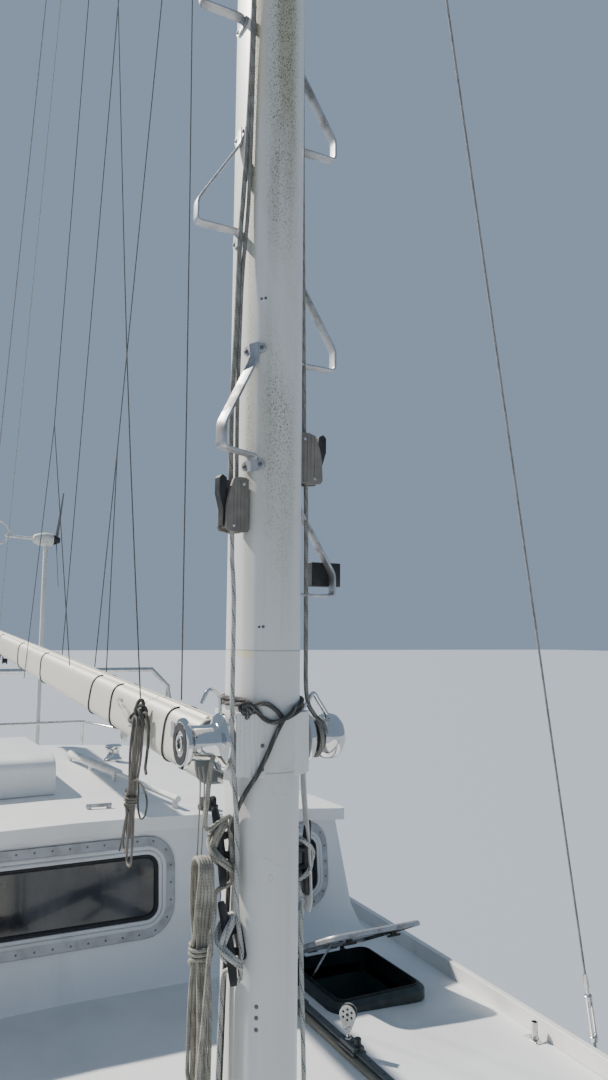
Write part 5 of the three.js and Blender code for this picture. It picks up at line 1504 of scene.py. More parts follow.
    def fork(self, shop: Workshop) -> None:
        """The gooseneck's two plates, their mast base and the pin."""
        x, z, gap, plate = 1.25, 2.485, 0.092, 0.01
        made = Sketch()
        for end in (-1, 1):
            level = z + end * (gap / 2 + plate / 2) - plate / 2
            place = moved(0, 0, level)
            outline = [(x + 0.03 * cos(a), 0.03 * sin(a)) for a in
                       [pi / 2 + pi * k / 12 for k in range(13)]]
            made.plate(place, [*outline, (1.347, -0.03), (1.347, 0.03)], plate)
        made.block((1.327, -0.032, z - 0.075), (1.341, 0.032, z + 0.075))
        made.turn(moved(x, 0, z - gap / 2 - plate - 0.008), [(0.0135, 0), (0.0135, 0.006), (0.009, 0.008),
                (0.009, 0.118), (0.0125, 0.12), (0.0125, 0.126)], 24)
        shop.piece("gooseneck_fork", made, STEEL, bevel=0.001)

    def small_fittings(self, shop: Workshop) -> None:
        """Rivets, screws and the bent wire guards over the winches."""
        heads = Sketch()
        for z in (2.004, 1.981, 1.957):
            heads.bolt(mast_seat(0.098, -1, z), 0.0048, 0.0014)
        for forward, z in ((0.098, 3.608), (0.09, 3.608), (0.101, 2.822), (0.094, 2.822)):
            heads.bolt(mast_seat(forward, -1, z), 0.0035, 0.0016)
        shop.piece("mast_rivets", heads, DARK_ALLOY)
        guards = Sketch()
        guards.tube(spline([(1.46, -0.086, 2.6), (1.46, -0.108, 2.622), (1.46, -0.112, 2.66),
                    (1.46, -0.128, 2.677), (1.46, -0.144, 2.671), (1.46, -0.156, 2.645)], 6), 0.0044, 12)
        guards.tube(spline([(1.46, 0.088, 2.612), (1.46, 0.118, 2.64), (1.46, 0.134, 2.662),
                            (1.46, 0.148, 2.645), (1.46, 0.176, 2.605)], 6), 0.0056, 12)
        shop.piece("winch_guards", guards, CHROME)


@dataclass
class MastWinch:
    """One small winch on the mast: base, flanges, drum and outer head."""

    side: Side
    z: float = 2.557
    start: float = 0.092

    def build(self, shop: Workshop) -> None:
        """The turned drum and, to starboard, its ringed face, or to port its rope turns."""
        s = self.side.sign
        place = basis((MAST_X, self.start * s, self.z), (0, s, 0))
        body = f"winch_{self.side.label}"
        drum = Sketch()
        if self.side is Side.STARBOARD:
            profile = [(0.015, 0.006), (0.064, 0.006), (0.066, 0.0085), (0.0655, 0.015), (0.06, 0.02),
                       (0.048, 0.025), (0.0415, 0.031), (0.04, 0.04), (0.0392, 0.06), (0.04, 0.084),
                       (0.044, 0.091), (0.0545, 0.0965), (0.0575, 0.099), (0.058, 0.103), (0.0565, 0.1075),
                       (0.05, 0.11), (0.048, 0.11), (0.015, 0.1085), (0.015, 0.09)]
        else:
            profile = [(0.015, 0.006), (0.06, 0.006), (0.066, 0.011), (0.064, 0.022), (0.056, 0.031),
                       (0.042, 0.036), (0.0385, 0.042), (0.0385, 0.056), (0.042, 0.06), (0.05, 0.068),
                       (0.0545, 0.08), (0.055, 0.093), (0.052, 0.105), (0.044, 0.114), (0.032, 0.118),
                       (0.02, 0.118), (0.02, 0.09), (0.015, 0.09)]
        drum.turn(place, profile, 64)
        shop.piece(f"winch_drum_{self.side.label}", drum, CHROME, body, smooth=40,
                   replaces=[f"mast_winch_{self.side.label}"])
        face = Sketch()
        if self.side is Side.STARBOARD:
            ring = []
            for k in range(96):
                radius = 0.0455 + 0.0022 * copysign(abs(sin(12 * tau * k / 192)) ** 0.5, 1)
                ring.append((radius * cos(tau * k / 96), radius * sin(tau * k / 96)))
            face.plate(place, ring, 0.0022, 0.1092, [[(u, -v) for u, v in circle(0.03, 48)]])
            shop.piece("winch_face_ring_starboard", face, BLACK, body)
            star = Sketch()
            teeth = []
            for k in range(16):
                radius = 0.015 if k % 2 else 0.0115
                teeth.append((radius * cos(tau * k / 16), radius * sin(tau * k / 16)))
            star.plate(place, circle(0.022, 32), 0.004, 0.1085, [teeth])
            star.turn(place, [(0.0125, 0.096), (0.0125, 0.0975)], 16)
            shop.piece("winch_socket_starboard", star, STEEL, body, bevel=0.0006)
        else:
            turns = [place @ Vector((0.0455 * cos(a), 0.0455 * sin(a), 0.044 + 0.0105 * a / tau))
                     for a in [tau * k / 28 for k in range(42)]]
            face.tube(turns, 0.0055, 10)
            shop.piece("winch_rope_turns_port", face, GREY_ROPE, body)


@dataclass
class RopeClutch:
    """One rope clutch: fluted cheeks, a rope channel and a cam lever."""

    side: Side
    z: float
    forward: float
    depth: float = 0.068
    width: float = 0.038
    height: float = 0.132

    def build(self, shop: Workshop) -> None:
        """The two cheeks, the channel between them, the lever and the bolts."""
        label = self.side.label
        seat = mast_seat(self.forward, self.side.sign, self.z, 0.0003)
        turned = seat @ Matrix.Rotation(pi / 2, 4, "Y")
        # In the turned frame the first axis points into the mast, the second up and the third along the wall
        outline = [(-0.004, 0.004), (-0.004, 0.128), (-0.012, self.height), (-0.03, self.height),
                   (-self.depth + 0.02, 0.126), (-self.depth + 0.008, 0.092), (-self.depth + 0.002, 0.062),
                   (-self.depth, 0.012), (-self.depth + 0.006, 0.004), (-0.03, 0.0)]
        body = Sketch()
        for start in (-self.width / 2, self.width / 2 - 0.007):
            body.plate(turned, outline, 0.007, start)
        for out in (0.016, 0.026, 0.036, 0.046):
            for start in (-self.width / 2 - 0.0012, self.width / 2 - 0.0004):
                body.plate(turned @ moved(-out, self.height / 2, 0), rounded(0.0035, 0.118, 0.0016, 2),
                           0.0016, start)
        core = [(-0.004, 0.01), (-0.004, 0.12), (-0.022, 0.12), (-0.022, 0.01)]
        body.plate(turned, core, self.width - 0.012, -self.width / 2 + 0.006)
        body.plate(turned, [(-0.036, 0.01), (-0.036, 0.1), (-self.depth + 0.004, 0.06),
                (-self.depth + 0.004, 0.012)], self.width - 0.012, -self.width / 2 + 0.006)
        shop.piece(f"rope_clutch_body_{label}", body, CLUTCH_PLASTIC, bevel=0.0012,
            replaces=[f"rope_clutch_{label}"])
        lever = Sketch()
        lever.plate(turned, [(-self.depth + 0.018, 0.05), (-self.depth + 0.006, 0.128),
                (-self.depth - 0.006, 0.134), (-self.depth - 0.014, 0.126), (-self.depth - 0.014, 0.088),
                (-self.depth - 0.003, 0.052), (-self.depth - 0.003, 0.014), (-self.depth + 0.006, 0.012)],
            self.width - 0.018, -self.width / 2 + 0.009)
        shop.piece(f"rope_clutch_lever_{label}", lever, BLACK, bevel=0.0015)
        bolts = Sketch()
        for out, up in ((0.046, 0.016), (0.018, 0.116)):
            for end in (-1, 1):
                bolts.bolt(basis(turned @ Vector((-out, up, end * self.width / 2)),
                        turned.to_3x3().col[2] * end), 0.0042, 0.0022)
        shop.piece(f"rope_clutch_bolts_{label}", bolts, STEEL)


@dataclass
class MastCleat:
    """A horn cleat on the mast."""

    name: str
    side: Side
    z: float
    forward: float
    tilt: float
    out: float = 0.033
    half: float = 0.085
    radius: float = 0.0105

    def seat(self) -> Matrix:
        """The cleat's frame: its second axis runs along the horns and its third out of the wall."""
        turn = radians(self.tilt) * -self.side.sign
        return mast_seat(self.forward, self.side.sign, self.z) @ Matrix.Rotation(turn, 4, "Z")

    def build(self, shop: Workshop) -> None:
        """The tapered horns on their two-legged base."""
        seat = self.seat()
        horns = Sketch()
        bends = ((-self.half, -0.004), (-0.05, -0.001), (0, 0), (0.05, -0.001), (self.half, -0.004))
        route = spline([seat @ Vector((0, up, self.out - bend)) for up, bend in bends], 5)
        horns.sweep(route, circle(self.radius, 14), scale=lambda t: 0.62 + 0.4 * sin(pi * t) ** 0.5)
        for up in (-0.018, 0.018):
            horns.sweep([seat @ Vector((0, up * 1.4, -0.004)), seat @ Vector((0, up, self.out))],
                        circle(0.0085, 12))
        horns.plate(seat, rounded(0.026, 0.085, 0.012), 0.006, -0.001)
        shop.piece(f"cleat_{self.name}", horns, BLACK, smooth=45)


MAST_CLEATS = (
    ("upper", Side.STARBOARD, 2.33, 0.024, 18.0),
    ("lower", Side.STARBOARD, 2.135, 0.058, 17.0),
    ("port", Side.PORT, 2.28, 0.022, 0.0),
)


# Boom


@dataclass
class BoomWork:
    """The boom with its end fittings, slot, lashings and blocks."""

    pivot: tuple[float, float] = (1.25, 2.485)
    cap_x: float = 1.16
    end_x: float = -3.98
    height: float = 0.165
    width: float = 0.11
    rise: float = 2.9

    def along(self, x: float, y: float, up: float) -> Vector:
        """A place beside the boom's centre line at a given X."""
        return Vector((x, y, self.pivot[1] + (self.pivot[0] - x) * tan(radians(self.rise)) + up))

    def build(self, shop: Workshop) -> None:
        """Builds the boom in place of its CAD node, and everything on it."""
        section = superellipse(self.width / 2, self.height / 2, 0.6, 56)
        spar = Sketch()
        spar.loft([[self.along(x, u * k, v * k) for u, v in section]
                   for x, k in ((self.end_x + 0.012, 1.0), (-1.4, 1.0), (self.cap_x - 0.012, 1.0))])
        shop.piece("boom_spar", spar, BOOM_PAINT, "boom", replaces=["boom"])
        ends = Sketch()
        for x0, x1 in ((self.cap_x - 0.02, self.cap_x), (self.end_x + 0.02, self.end_x)):
            out = 1 if x1 > x0 else -1
            rings = [(x0, 1.03), (x1 - 0.006 * out, 1.03), (x1, 0.94), (x1 + 0.002 * out, 0.4)]
            ends.loft([[self.along(x, u * k, v * k) for u, v in section] for x, k in rings])
        ends.plate(basis((self.pivot[0] + 0.01, -0.024, self.pivot[1]), (0, 1, 0)),
            rounded(0.13, 0.066, 0.01), 0.048)
        ends.turn(moved(self.pivot[0], 0, self.pivot[1] - 0.034), [(0.024, 0), (0.024, 0.068)], 28)
        shop.piece("boom_end_fittings", ends, DARK_ALLOY, "boom", bevel=0.001)
        self.slot(shop)
        self.lashings(shop)
        self.fittings(shop)

    def slot(self, shop: Workshop) -> None:
        """The two lips of the foot slot along the boom's top."""
        lips = Sketch()
        top = self.height / 2
        for s in (-1, 1):
            section = [(0.004 * s, -0.006), (0.004 * s, 0.006), (0.01 * s, 0.007), (0.014 * s, 0.004),
                (0.02 * s, -0.006)]
            lips.loft([[self.along(x, u, top + v) for u, v in section]
                    for x in (self.end_x + 0.03, self.cap_x - 0.05)])
        shop.piece("boom_slot_lips", lips, BOOM_PAINT, "boom")

    def band_route(self, x: float, grow: float, lean: float = 0.0) -> list[Vector]:
        """A closed route round the boom, leaning aft towards the bottom."""
        section = superellipse(self.width / 2 + grow, self.height / 2 + grow, 0.6, 40)
        return [self.along(x + lean * v, u, v) for u, v in section]

    def lashings(self, shop: Workshop) -> None:
        """Thin dark cords tied round the boom."""
        cords = Sketch()
        for x, lean in ((-1.4, 0.15), (-0.15, 0.6), (0.2, 0.35), (0.86, 0.3), (-2.3, 0.0), (-3.4, 0.2)):
            cords.tube(self.band_route(x, 0.0025, lean), 0.0028, 8, wrap=True)
        shop.piece("boom_lashings", cords, DARK_ROPE, "boom")
        self.knot(shop)

    def knot(self, shop: Workshop) -> None:
        """The tied cord that holds the hank, its bights, and the frayed cord from the boom's hole."""
        side = -self.width / 2
        knot = Sketch()
        for size, at, turn in ((0.0205, (0.645, side - 0.02, 2.54), 0.3),
            (0.015, (0.69, side - 0.026, 2.545), 1.4)):
            place = basis(Vector(at), (0, -1, 0)) @ Matrix.Rotation(turn, 4, "Z")
            knot.tube(trefoil(place, size, (1.25, 0.62, 0.5)), 0.006, 10, wrap=True)
        bights = [
            (0.0048, 0.018, [(0.69, 2.545), (0.735, 2.56), (0.752, 2.53), (0.742, 2.47), (0.735, 2.42),
                (0.745, 2.395), (0.77, 2.38)]),
            (0.003, 0.03, [(0.655, 2.335), (0.7, 2.35), (0.745, 2.34), (0.786, 2.307), (0.782, 2.262),
                (0.753, 2.245), (0.735, 2.275), (0.73, 2.325), (0.7, 2.352), (0.655, 2.35)]),
            (0.003, 0.03, [(0.64, 2.29), (0.59, 2.305), (0.56, 2.29), (0.55, 2.26), (0.56, 2.235),
                (0.59, 2.225), (0.63, 2.245)]),
            (0.003, 0.02, [(0.6, 2.24), (0.56, 2.215), (0.515, 2.18), (0.48, 2.125), (0.455, 2.08)]),
        ]
        for radius, off, bight in bights:
            knot.tube(spline([(x, side - off - 0.006 * cos(i), z) for i, (x, z) in enumerate(bight)], 6),
                radius, 8)
        shop.piece("boom_knot", knot, DARK_ROPE, "boom", smooth=60)
        frayed = Sketch()
        route = spline([
            (0.352, side + 0.004, 2.575), (0.372, side - 0.012, 2.568), (0.43, side - 0.014, 2.56),
            (0.5, side - 0.012, 2.53), (0.54, side - 0.014, 2.508), (0.59, side - 0.016, 2.522),
            (0.64, side - 0.02, 2.536)], 8)
        frayed.tube(route, 0.0068, 10)
        rng = random.Random(5)
        for k in range(4, len(route) - 8):
            for _ in range(7):
                out = Vector((rng.uniform(-1, 1), rng.uniform(-0.6, 0.2), rng.uniform(-1, 1))).normalized()
                tip = route[k] + out * rng.uniform(0.01, 0.019)
                frayed.tube([route[k], (route[k] + tip) / 2 + Vector((0, 0, 0.002)), tip], 0.0007, 4)
        shop.piece("frayed_cord", frayed, CLOTH_WHITE, "boom", smooth=60)

    def fittings(self, shop: Workshop) -> None:
        """A thin dark plate of painted shade over the square hole, the blank plate, the underside fairlead
        and the outhaul sheave.
        """
        side = -self.width / 2
        # A thin black plate stands for the square hole: painted shade.
        hole = Sketch().plate(basis(self.along(0.355, side + 0.0005, 0.04), (0, -1, 0)),
            rounded(0.016, 0.014, 0.002, 2), 0.0008)
        shop.piece("boom_hole_shade", hole, BLACK, "boom")
        plate = Sketch().plate(basis(self.along(0.945, side + 0.0004, 0.03), (0, -1, 0)),
            rounded(0.034, 0.046, 0.003), 0.0012)
        shop.piece("boom_blank_plate", plate, ALLOY, "boom", bevel=0.0004)
        eye = Sketch()
        middle = self.along(0.22, -0.006, -self.height / 2 - 0.022)
        ring = [middle + Vector((0.014 * u, 0, 0.019 * v)) for u, v in circle(1, 24)]
        eye.sweep(ring, rounded(0.02, 0.008, 0.003, 2), across=PORT, wrap=True)
        shop.piece("boom_fairlead", eye, WHITE_PLASTIC, "boom")
        sheaves = Sketch()
        for x in (self.end_x + 0.1, self.end_x + 0.55):
            for y in (-0.018, 0.014):
                sheaves.plate(basis(self.along(x, y, -self.height / 2 - 0.03), (0, 1, 0)),
                              rounded(0.05, 0.075, 0.022), 0.004)
            sheaves.turn(basis(self.along(x, -0.013, -self.height / 2 - 0.04), (0, 1, 0)), [
                (0.024, 0), (0.018, 0.006), (0.018, 0.02), (0.024, 0.026)], 24)
        shop.piece("boom_sheet_blocks", sheaves, BLACK, "boom", bevel=0.001)


# Standing rigging


@dataclass
class StandingRigging:
    """Spreaders, shrouds, stays and their turnbuckles."""

    wire: float = 0.0045
    spreaders: tuple[Point, ...] = ((8.1, 1.18, 0.06), (12.0, 0.88, 0.04))
    lower_feet: tuple[tuple[float, float], ...] = ((0.74, 1.38), (2.15, 1.52))
    lower_z: float = 8.5

    def build(self, shop: Workshop) -> None:
        """Builds all the wires in place of their CAD nodes."""
        for node in ("spreaders_lower", "spreaders_upper"):
            shop.skin(node, PAD_PAINT, 40, 0.003)
        for side in Side:
            self.shrouds(shop, side)
        inner_low, inner_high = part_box("inner_forestay")
        fore_low, fore_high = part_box("forestay")
        back_low, back_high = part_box("backstay")
        stays = [
            ("forestay", (6.29, 0, fore_low.z), (1.585, 0, fore_high.z)),
            ("inner_forestay", (4.33, 0, inner_low.z), (1.583, 0, inner_high.z)),
            ("backstay", (-6.33, 0, back_low.z), (1.255, 0, back_high.z)),
        ]
        for name, foot, head in stays:
            wires, screws = Sketch(), Sketch()
            self.run(wires, screws, Vector(foot), Vector(head))
            shop.piece(f"{name}_wire", wires, WIRE_STEEL, smooth=60, replaces=[name])
            shop.piece(f"{name}_turnbuckle", screws, STEEL, smooth=40)

    def run(self, wires: Sketch, screws: Sketch, foot: Vector, head: Vector) -> None:
        """One stay from foot to head, with a turnbuckle above the foot and a terminal below the head."""
        along = (head - foot).normalized()
        self.turnbuckle(screws, foot, along)
        wires.tube([foot + along * 0.36, foot.lerp(head, 0.5), head], self.wire, 10)
        top = basis(head - along * 0.12, along, FORWARD)
        screws.turn(top, [(0.0055, 0), (0.0085, 0.012), (0.0085, 0.085), (0.0065, 0.095), (0.0065, 0.118)],
            14)

    @staticmethod
    def turnbuckle(made: Sketch, foot: Vector, along: Vector) -> None:
        """Forks, threads and the open body between them."""
        place = basis(foot, along, FORWARD)
        for u in (-0.0085, 0.0085):
            made.plate(place @ moved(u, 0, 0.0), rounded(0.0035, 0.019, 0.0016, 2), 0.052, -0.006)
        made.turn(place @ basis((-0.014, 0, 0.01), (1, 0, 0)), [(0.0055, 0), (0.0055, 0.028)], 12)
        made.turn(place, [(0.011, 0.044), (0.011, 0.06), (0.0065, 0.064), (0.0065, 0.12)], 16)
        for u in (-0.0105, 0.0105):
            made.plate(place @ moved(u, 0, 0), rounded(0.0055, 0.013, 0.002, 2), 0.17, 0.11)
        for low in (0.098, 0.268):
            made.turn(place, [(0.01, low), (0.0145, low + 0.003), (0.0145, low + 0.021),
                    (0.01, low + 0.024)], 18)
        made.turn(place, [(0.0065, 0.24), (0.0065, 0.318), (0.01, 0.322), (0.01, 0.345), (0.0075, 0.372),
                          (0.0055, 0.38)], 16)

    def shrouds(self, shop: Workshop, side: Side) -> None:
        """Cap and lower shrouds of one side on their channel."""
        label, s = side.label, side.sign
        low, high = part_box(f"shrouds_{label}")
        out = max(abs(low.y), abs(high.y)) - 0.01
        wires, screws = Sketch(), Sketch()
        rows = [vertex.co for vertex in frame["nodes"][f"shrouds_{label}"].data.vertices if vertex.co.z < 1.3]

        def foot_at(x: float) -> Vector:
            """Foot of a wire on the channel at x."""
            near = sorted((row for row in rows if row.z < 1.125), key=lambda row: abs(row.x - x))[:6]
            return Vector((x, (max(abs(row.y) for row in near) - 0.01) * s, max(row.z for row in near)))

        tips = [Vector((MAST_X - sweep, (half + 0.017) * s, z + 0.04)) for z, half, sweep in self.spreaders]
        foot = foot_at(MAST_X - 0.03)
        foot.y = out * s if abs(foot.y) > out else foot.y
        along = (tips[0] - foot).normalized()
        self.turnbuckle(screws, foot, along)
        head = Vector((MAST_X, 0.0627 * s, 16.08))
        wires.tube([foot + along * 0.36, foot.lerp(tips[0], 0.5), tips[0]], self.wire, 10)
        wires.tube([tips[0], tips[1], head], self.wire, 10)
        for tip in tips:
            screws.turn(moved(tip.x, tip.y, tip.z - 0.02), [(0.007, 0), (0.011, 0.006), (0.011, 0.034),
                    (0.007, 0.04)], 16)
        for x, mast_x in self.lower_feet:
            self.run(wires, screws, foot_at(x), Vector((mast_x, 0.076 * s, self.lower_z)))
        shop.piece(f"shroud_wires_{label}", wires, WIRE_STEEL, smooth=60, replaces=[f"shrouds_{label}"])
        shop.piece(f"shroud_turnbuckles_{label}", screws, STEEL, smooth=40)
        channel = Sketch()
        rings = []
        for x in (0.68, 1.1, 1.45, 1.8, 2.21):
            foot = foot_at(x)
            edge = abs(foot.y) + 0.02
            rings.append([(x, y * s, z) for y, z in ((edge - 0.075, foot.z - 0.03), (edge, foot.z - 0.03),
                        (edge, foot.z + 0.004), (edge - 0.075, foot.z + 0.004))])
        channel.loft(rings)
        shop.piece(f"chainplate_channel_{label}", channel, STEEL, bevel=0.003)


# Ropes


@dataclass
class RunningRigging:
    """The lines that are made fast: halyards, topping lift, lazy jacks, and those to the cleats and foot."""

    thick: float = 0.0056
    thin: float = 0.0024
    masthead_z: float = 16.0

    def build(self, shop: Workshop) -> None:
        """Lays every line."""
        self.halyards(shop)
        self.belayed(shop)
        self.tied(shop)
        self.port_side(shop)
        self.light_lines(shop)
        self.foot_eyes(shop)

    def halyards(self, shop: Workshop) -> None:
        """The halyards above the clutches and the topping lift."""
        lines = [
            ("halyard_starboard", GREY_ROPE, 0.0062, [
                (1.575, -0.03, self.masthead_z), (1.56, -0.088, 12.3), (1.556, -0.1, 12.0),
                (1.553, -0.1, 10.0), (1.55, -0.11, 8.1), (1.545, -0.088, 6.2), (1.532, -0.08, 4.76),
                (1.52, -0.08, 4.34), (1.508, -0.083, 4.08), (1.501, -0.089, 3.9), (1.5, -0.097, 3.765),
                (1.5, -0.103, 3.535), (1.5, -0.11, 3.36), (1.5, -0.111, 3.262), (1.5, -0.11, 3.17),
                (1.502, -0.11, 3.04)]),
            ("halyard_second", GREY_ROPE, 0.005, [
                (1.59, -0.018, self.masthead_z), (1.575, -0.078, 12.3), (1.572, -0.096, 12.0),
                (1.562, -0.096, 10.0), (1.558, -0.104, 8.1), (1.54, -0.086, 6.2), (1.52, -0.076, 4.5),
                (1.51, -0.078, 3.922), (1.5, -0.088, 3.69), (1.5, -0.093, 3.536), (1.5, -0.096, 3.362),
                (1.5, -0.096, 3.264), (1.5, -0.094, 3.12)]),
            ("halyard_port", GREY_ROPE, self.thick, [
                (1.5, 0.05, self.masthead_z), (1.48, 0.09, 12.3), (1.475, 0.106, 12.0),
                (1.468, 0.104, 10.0), (1.464, 0.11, 8.1), (1.46, 0.096, 6.2), (1.46, 0.091, 4.518),
                (1.46, 0.099, 3.667), (1.46, 0.103, 3.414), (1.46, 0.104, 3.322), (1.46, 0.11, 3.168),
                (1.46, 0.112, 2.991), (1.46, 0.113, 2.76), (1.46, 0.114, 2.68), (1.463, 0.12, 2.636),
                (1.462, 0.136, 2.612), (1.45, 0.146, 2.606)]),
        ]
        for name, finish, radius, knots in lines:
            shop.piece(name, Sketch().tube(spline(knots, 6), radius, 10), finish, smooth=60)
        lift = [(1.3, -0.012, 16.18), (-1.2, -0.01, 9.6), (-3.9, 0.0, 2.84)]
        shop.hang("topping_lift", Sketch().tube(spline(lift, 6), self.thin, 10), THIN_LINE)

    def belayed(self, shop: Workshop) -> None:
        """The rope falls that are belayed on the two starboard cleats and go on to the foot."""
        upper, lower = (MastCleat(*row).seat() for row in MAST_CLEATS[:2])
        fall = [(1.502, -0.109, 3.07), (1.51, -0.108, 3.034), (1.51, -0.107, 2.976), (1.51, -0.101, 2.883),
                (1.512, -0.101, 2.656), (1.512, -0.1, 2.567), (1.512, -0.092, 2.47), (1.513, -0.086, 2.39),
                (1.515, -0.084, 2.313), (1.52, -0.086, 2.24)]
        route = [*fall, *belay(lower, self.thick, 2), (1.478, -0.094, 2.06), (1.468, -0.098, 1.95),
                 (1.463, -0.103, 1.7), (1.462, -0.108, 1.45), (1.462, -0.113, 1.262)]
        shop.piece("halyard_fall", Sketch().tube(spline(route, 4), self.thick, 12), PALE_ROPE, smooth=60)
        route = [(1.476, -0.128, 2.536), (1.479, -0.138, 2.5), (1.48, -0.144, 2.434), (1.476, -0.143, 2.37),
            *belay(upper, self.thick, 2), (1.492, -0.124, 2.236), (1.51, -0.134, 2.195),
            (1.524, -0.148, 2.125), (1.524, -0.158, 1.992), (1.524, -0.168, 1.874), (1.522, -0.168, 1.679),
            (1.51, -0.154, 1.435), (1.462, -0.118, 1.262)]
        shop.piece("winch_tail", Sketch().tube(spline(route, 4), self.thick, 12), CREAM_ROPE, smooth=60)

    def tied(self, shop: Workshop) -> None:
        """The dark rope tied twice round the mast above the winches, its knot and its tail to the foot."""
        lap = [(-47, 2.642, 0.01), (-34, 2.65, 0.008), (-21, 2.648, 0.0065), (-8, 2.634, 0.0065),
               (0, 2.618, 0.0065), (11, 2.622, 0.0065), (36, 2.635, 0.0065), (70, 2.643, 0.0065),
               (110, 2.643, 0.0065), (150, 2.643, 0.0065), (180, 2.643, 0.017), (210, 2.643, 0.0065),
               (250, 2.643, 0.0065), (290, 2.645, 0.0065), (309, 2.647, 0.0065), (321, 2.634, 0.0065),
               (332, 2.618, 0.0065), (345, 2.609, 0.007), (358, 2.616, 0.018), (368, 2.63, 0.015),
               (380, 2.64, 0.007), (396, 2.646, 0.0065), (430, 2.655, 0.0065), (470, 2.655, 0.0065),
               (510, 2.655, 0.0065), (540, 2.655, 0.017), (570, 2.655, 0.0065), (610, 2.655, 0.0065),
               (650, 2.657, 0.0065), (668, 2.653, 0.008), (676, 2.64, 0.011)]
        rope = Sketch().tube(spline([round_mast(*row) for row in lap], 4), 0.0054, 12)
        place = mast_seat(0.078, -1, 2.636, 0.01)
        for size, lean in ((0.006, 0.0), (0.0044, 1.1)):
            turned = place @ Matrix.Rotation(lean, 4, "Z")
            rope.tube(trefoil(turned, size, lift=0.6), 0.005, 10, wrap=True)
        tail = [(1.578, -0.002, 2.616), (1.574, -0.01, 2.6), (1.57, -0.024, 2.57), (1.566, -0.04, 2.532),
                (1.556, -0.058, 2.492), (1.536, -0.074, 2.455), (1.512, -0.081, 2.42), (1.492, -0.084, 2.385),
                (1.478, -0.085, 2.333), (1.472, -0.085, 2.263), (1.466, -0.085, 2.202), (1.462, -0.088, 2.05),
                (1.458, -0.092, 1.83), (1.452, -0.1, 1.55), (1.446, -0.112, 1.262)]
        rope.tube(spline(tail, 5), 0.0054, 12)
        shop.piece("tied_rope", rope, DARK_ROPE, smooth=60)

    def port_side(self, shop: Workshop) -> None:
        """The strap, the belayed rope and its fall on the mast's port side."""
        cleat = MastCleat(*MAST_CLEATS[2]).seat()
        strap = Sketch()
        strap.sweep(spline([(1.486, 0.094, 2.486), (1.484, 0.098, 2.43), (1.482, 0.104, 2.378),
                    (1.48, 0.112, 2.28), (1.48, 0.117, 2.19), (1.478, 0.112, 2.16)], 5),
            rounded(0.026, 0.003, 0.001, 2), across=FORWARD)
        shop.piece("port_strap", strap, CLOTH_WHITE, smooth=50)
        route = [*belay(cleat, self.thick, 1), (1.462, 0.11, 2.18), (1.462, 0.104, 2.128),
            (1.462, 0.108, 1.95), (1.462, 0.114, 1.78), (1.462, 0.116, 1.55), (1.462, 0.115, 1.262)]
        shop.piece("port_fall", Sketch().tube(spline(route, 4), self.thick, 12), PALE_ROPE, smooth=60)

    def light_lines(self, shop: Workshop) -> None:
        """The lazy jacks between the mast and the boom, and the two light lines at the hank."""
        jacks = Sketch()
        first, third, meet = (-1.221, -0.07, 3.948), (-0.268, 0.05, 3.62), (-0.231, -0.03, 5.747)
        runs = [
            [(1.4, -0.08, self.masthead_z), (-0.743, -0.072, 6.145), first],
            [first, (-1.97, -0.0585, 2.535)],
            [first, (-0.582, -0.0585, 2.66)],
            [(1.38, -0.06, 12.3), meet],
            [meet, (-1.196, 0.02, 2.697)],
            [meet, (0.286, -0.06, 3.85), (0.612, -0.0585, 2.591)],
            [(1.4, 0.08, 10.29), (0.196, 0.058, 5.475), third],
            [third, (-0.552, 0.05, 2.655)],
            [third, (-0.241, 0.03, 2.645)],
            [(0.691, -0.047, 9.497), (0.691, 0.03, 5.084), (0.765, 0.03, 2.599)],
        ]
        for run in runs:
            jacks.tube(spline(run, 4), self.thin, 8)
        for spot in (first, third, meet):
            jacks.turn(basis(Vector(spot) - Vector((0, 0, 0.012)), UP),
                [(0.003, 0), (0.0062, 0.005), (0.0066, 0.013), (0.004, 0.02), (0.0058, 0.026),
                    (0.003, 0.034)], 12)
        shop.hang("lazy_jacks", jacks, DARK_LINE)
        pale = Sketch()
        for shift in (0.0, 0.01):
            pale.tube(spline([(1.44, -0.152 + shift, 2.5), (1.44, -0.147 + shift, 2.45),
                        (1.44, -0.151 + shift, 2.296), (1.44, -0.154 + shift, 2.124),
                        (1.44, -0.156 + shift, 1.976), (1.44, -0.152 + shift, 1.892), (1.441, -0.14, 1.6),
                        (1.444, -0.118, 1.262)], 6), 0.0019, 8)
        shop.piece("light_lines", pale, THIN_LINE, smooth=60)

    def foot_eyes(self, shop: Workshop) -> None:
        """The eyes on the foot plate that hold the lines' lower ends."""
        eyes = Sketch()
        for x, y in ((1.446, -0.114), (1.462, -0.114), (1.462, 0.114)):
            eyes.tube([(x + 0.011 * u, y, 1.248 + 0.016 * v) for u, v in circle(1, 20)], 0.0038, 10,
                wrap=True)
        for y in (-0.114, 0.114):
            eyes.block((1.43, y - 0.009, 1.218), (1.478, y + 0.009, 1.24))
        shop.piece("foot_eyes", eyes, STEEL, smooth=40, bevel=0.001)


def round_mast(angle: float, z: float, off: float) -> Vector:
    """A place beside the mast's wall.

    Args:
        angle: direction in degrees from straight ahead, positive to port.
        z: height.
        off: distance out of the wall.

    Returns:
        The place.
    """
    c, s = cos(radians(angle)), sin(radians(angle))
    return Vector((MAST_X + (MAST_LONG + off) * copysign(abs(c) ** MAST_POWER, c),
                   (MAST_WIDE + off) * copysign(abs(s) ** MAST_POWER, s), z))


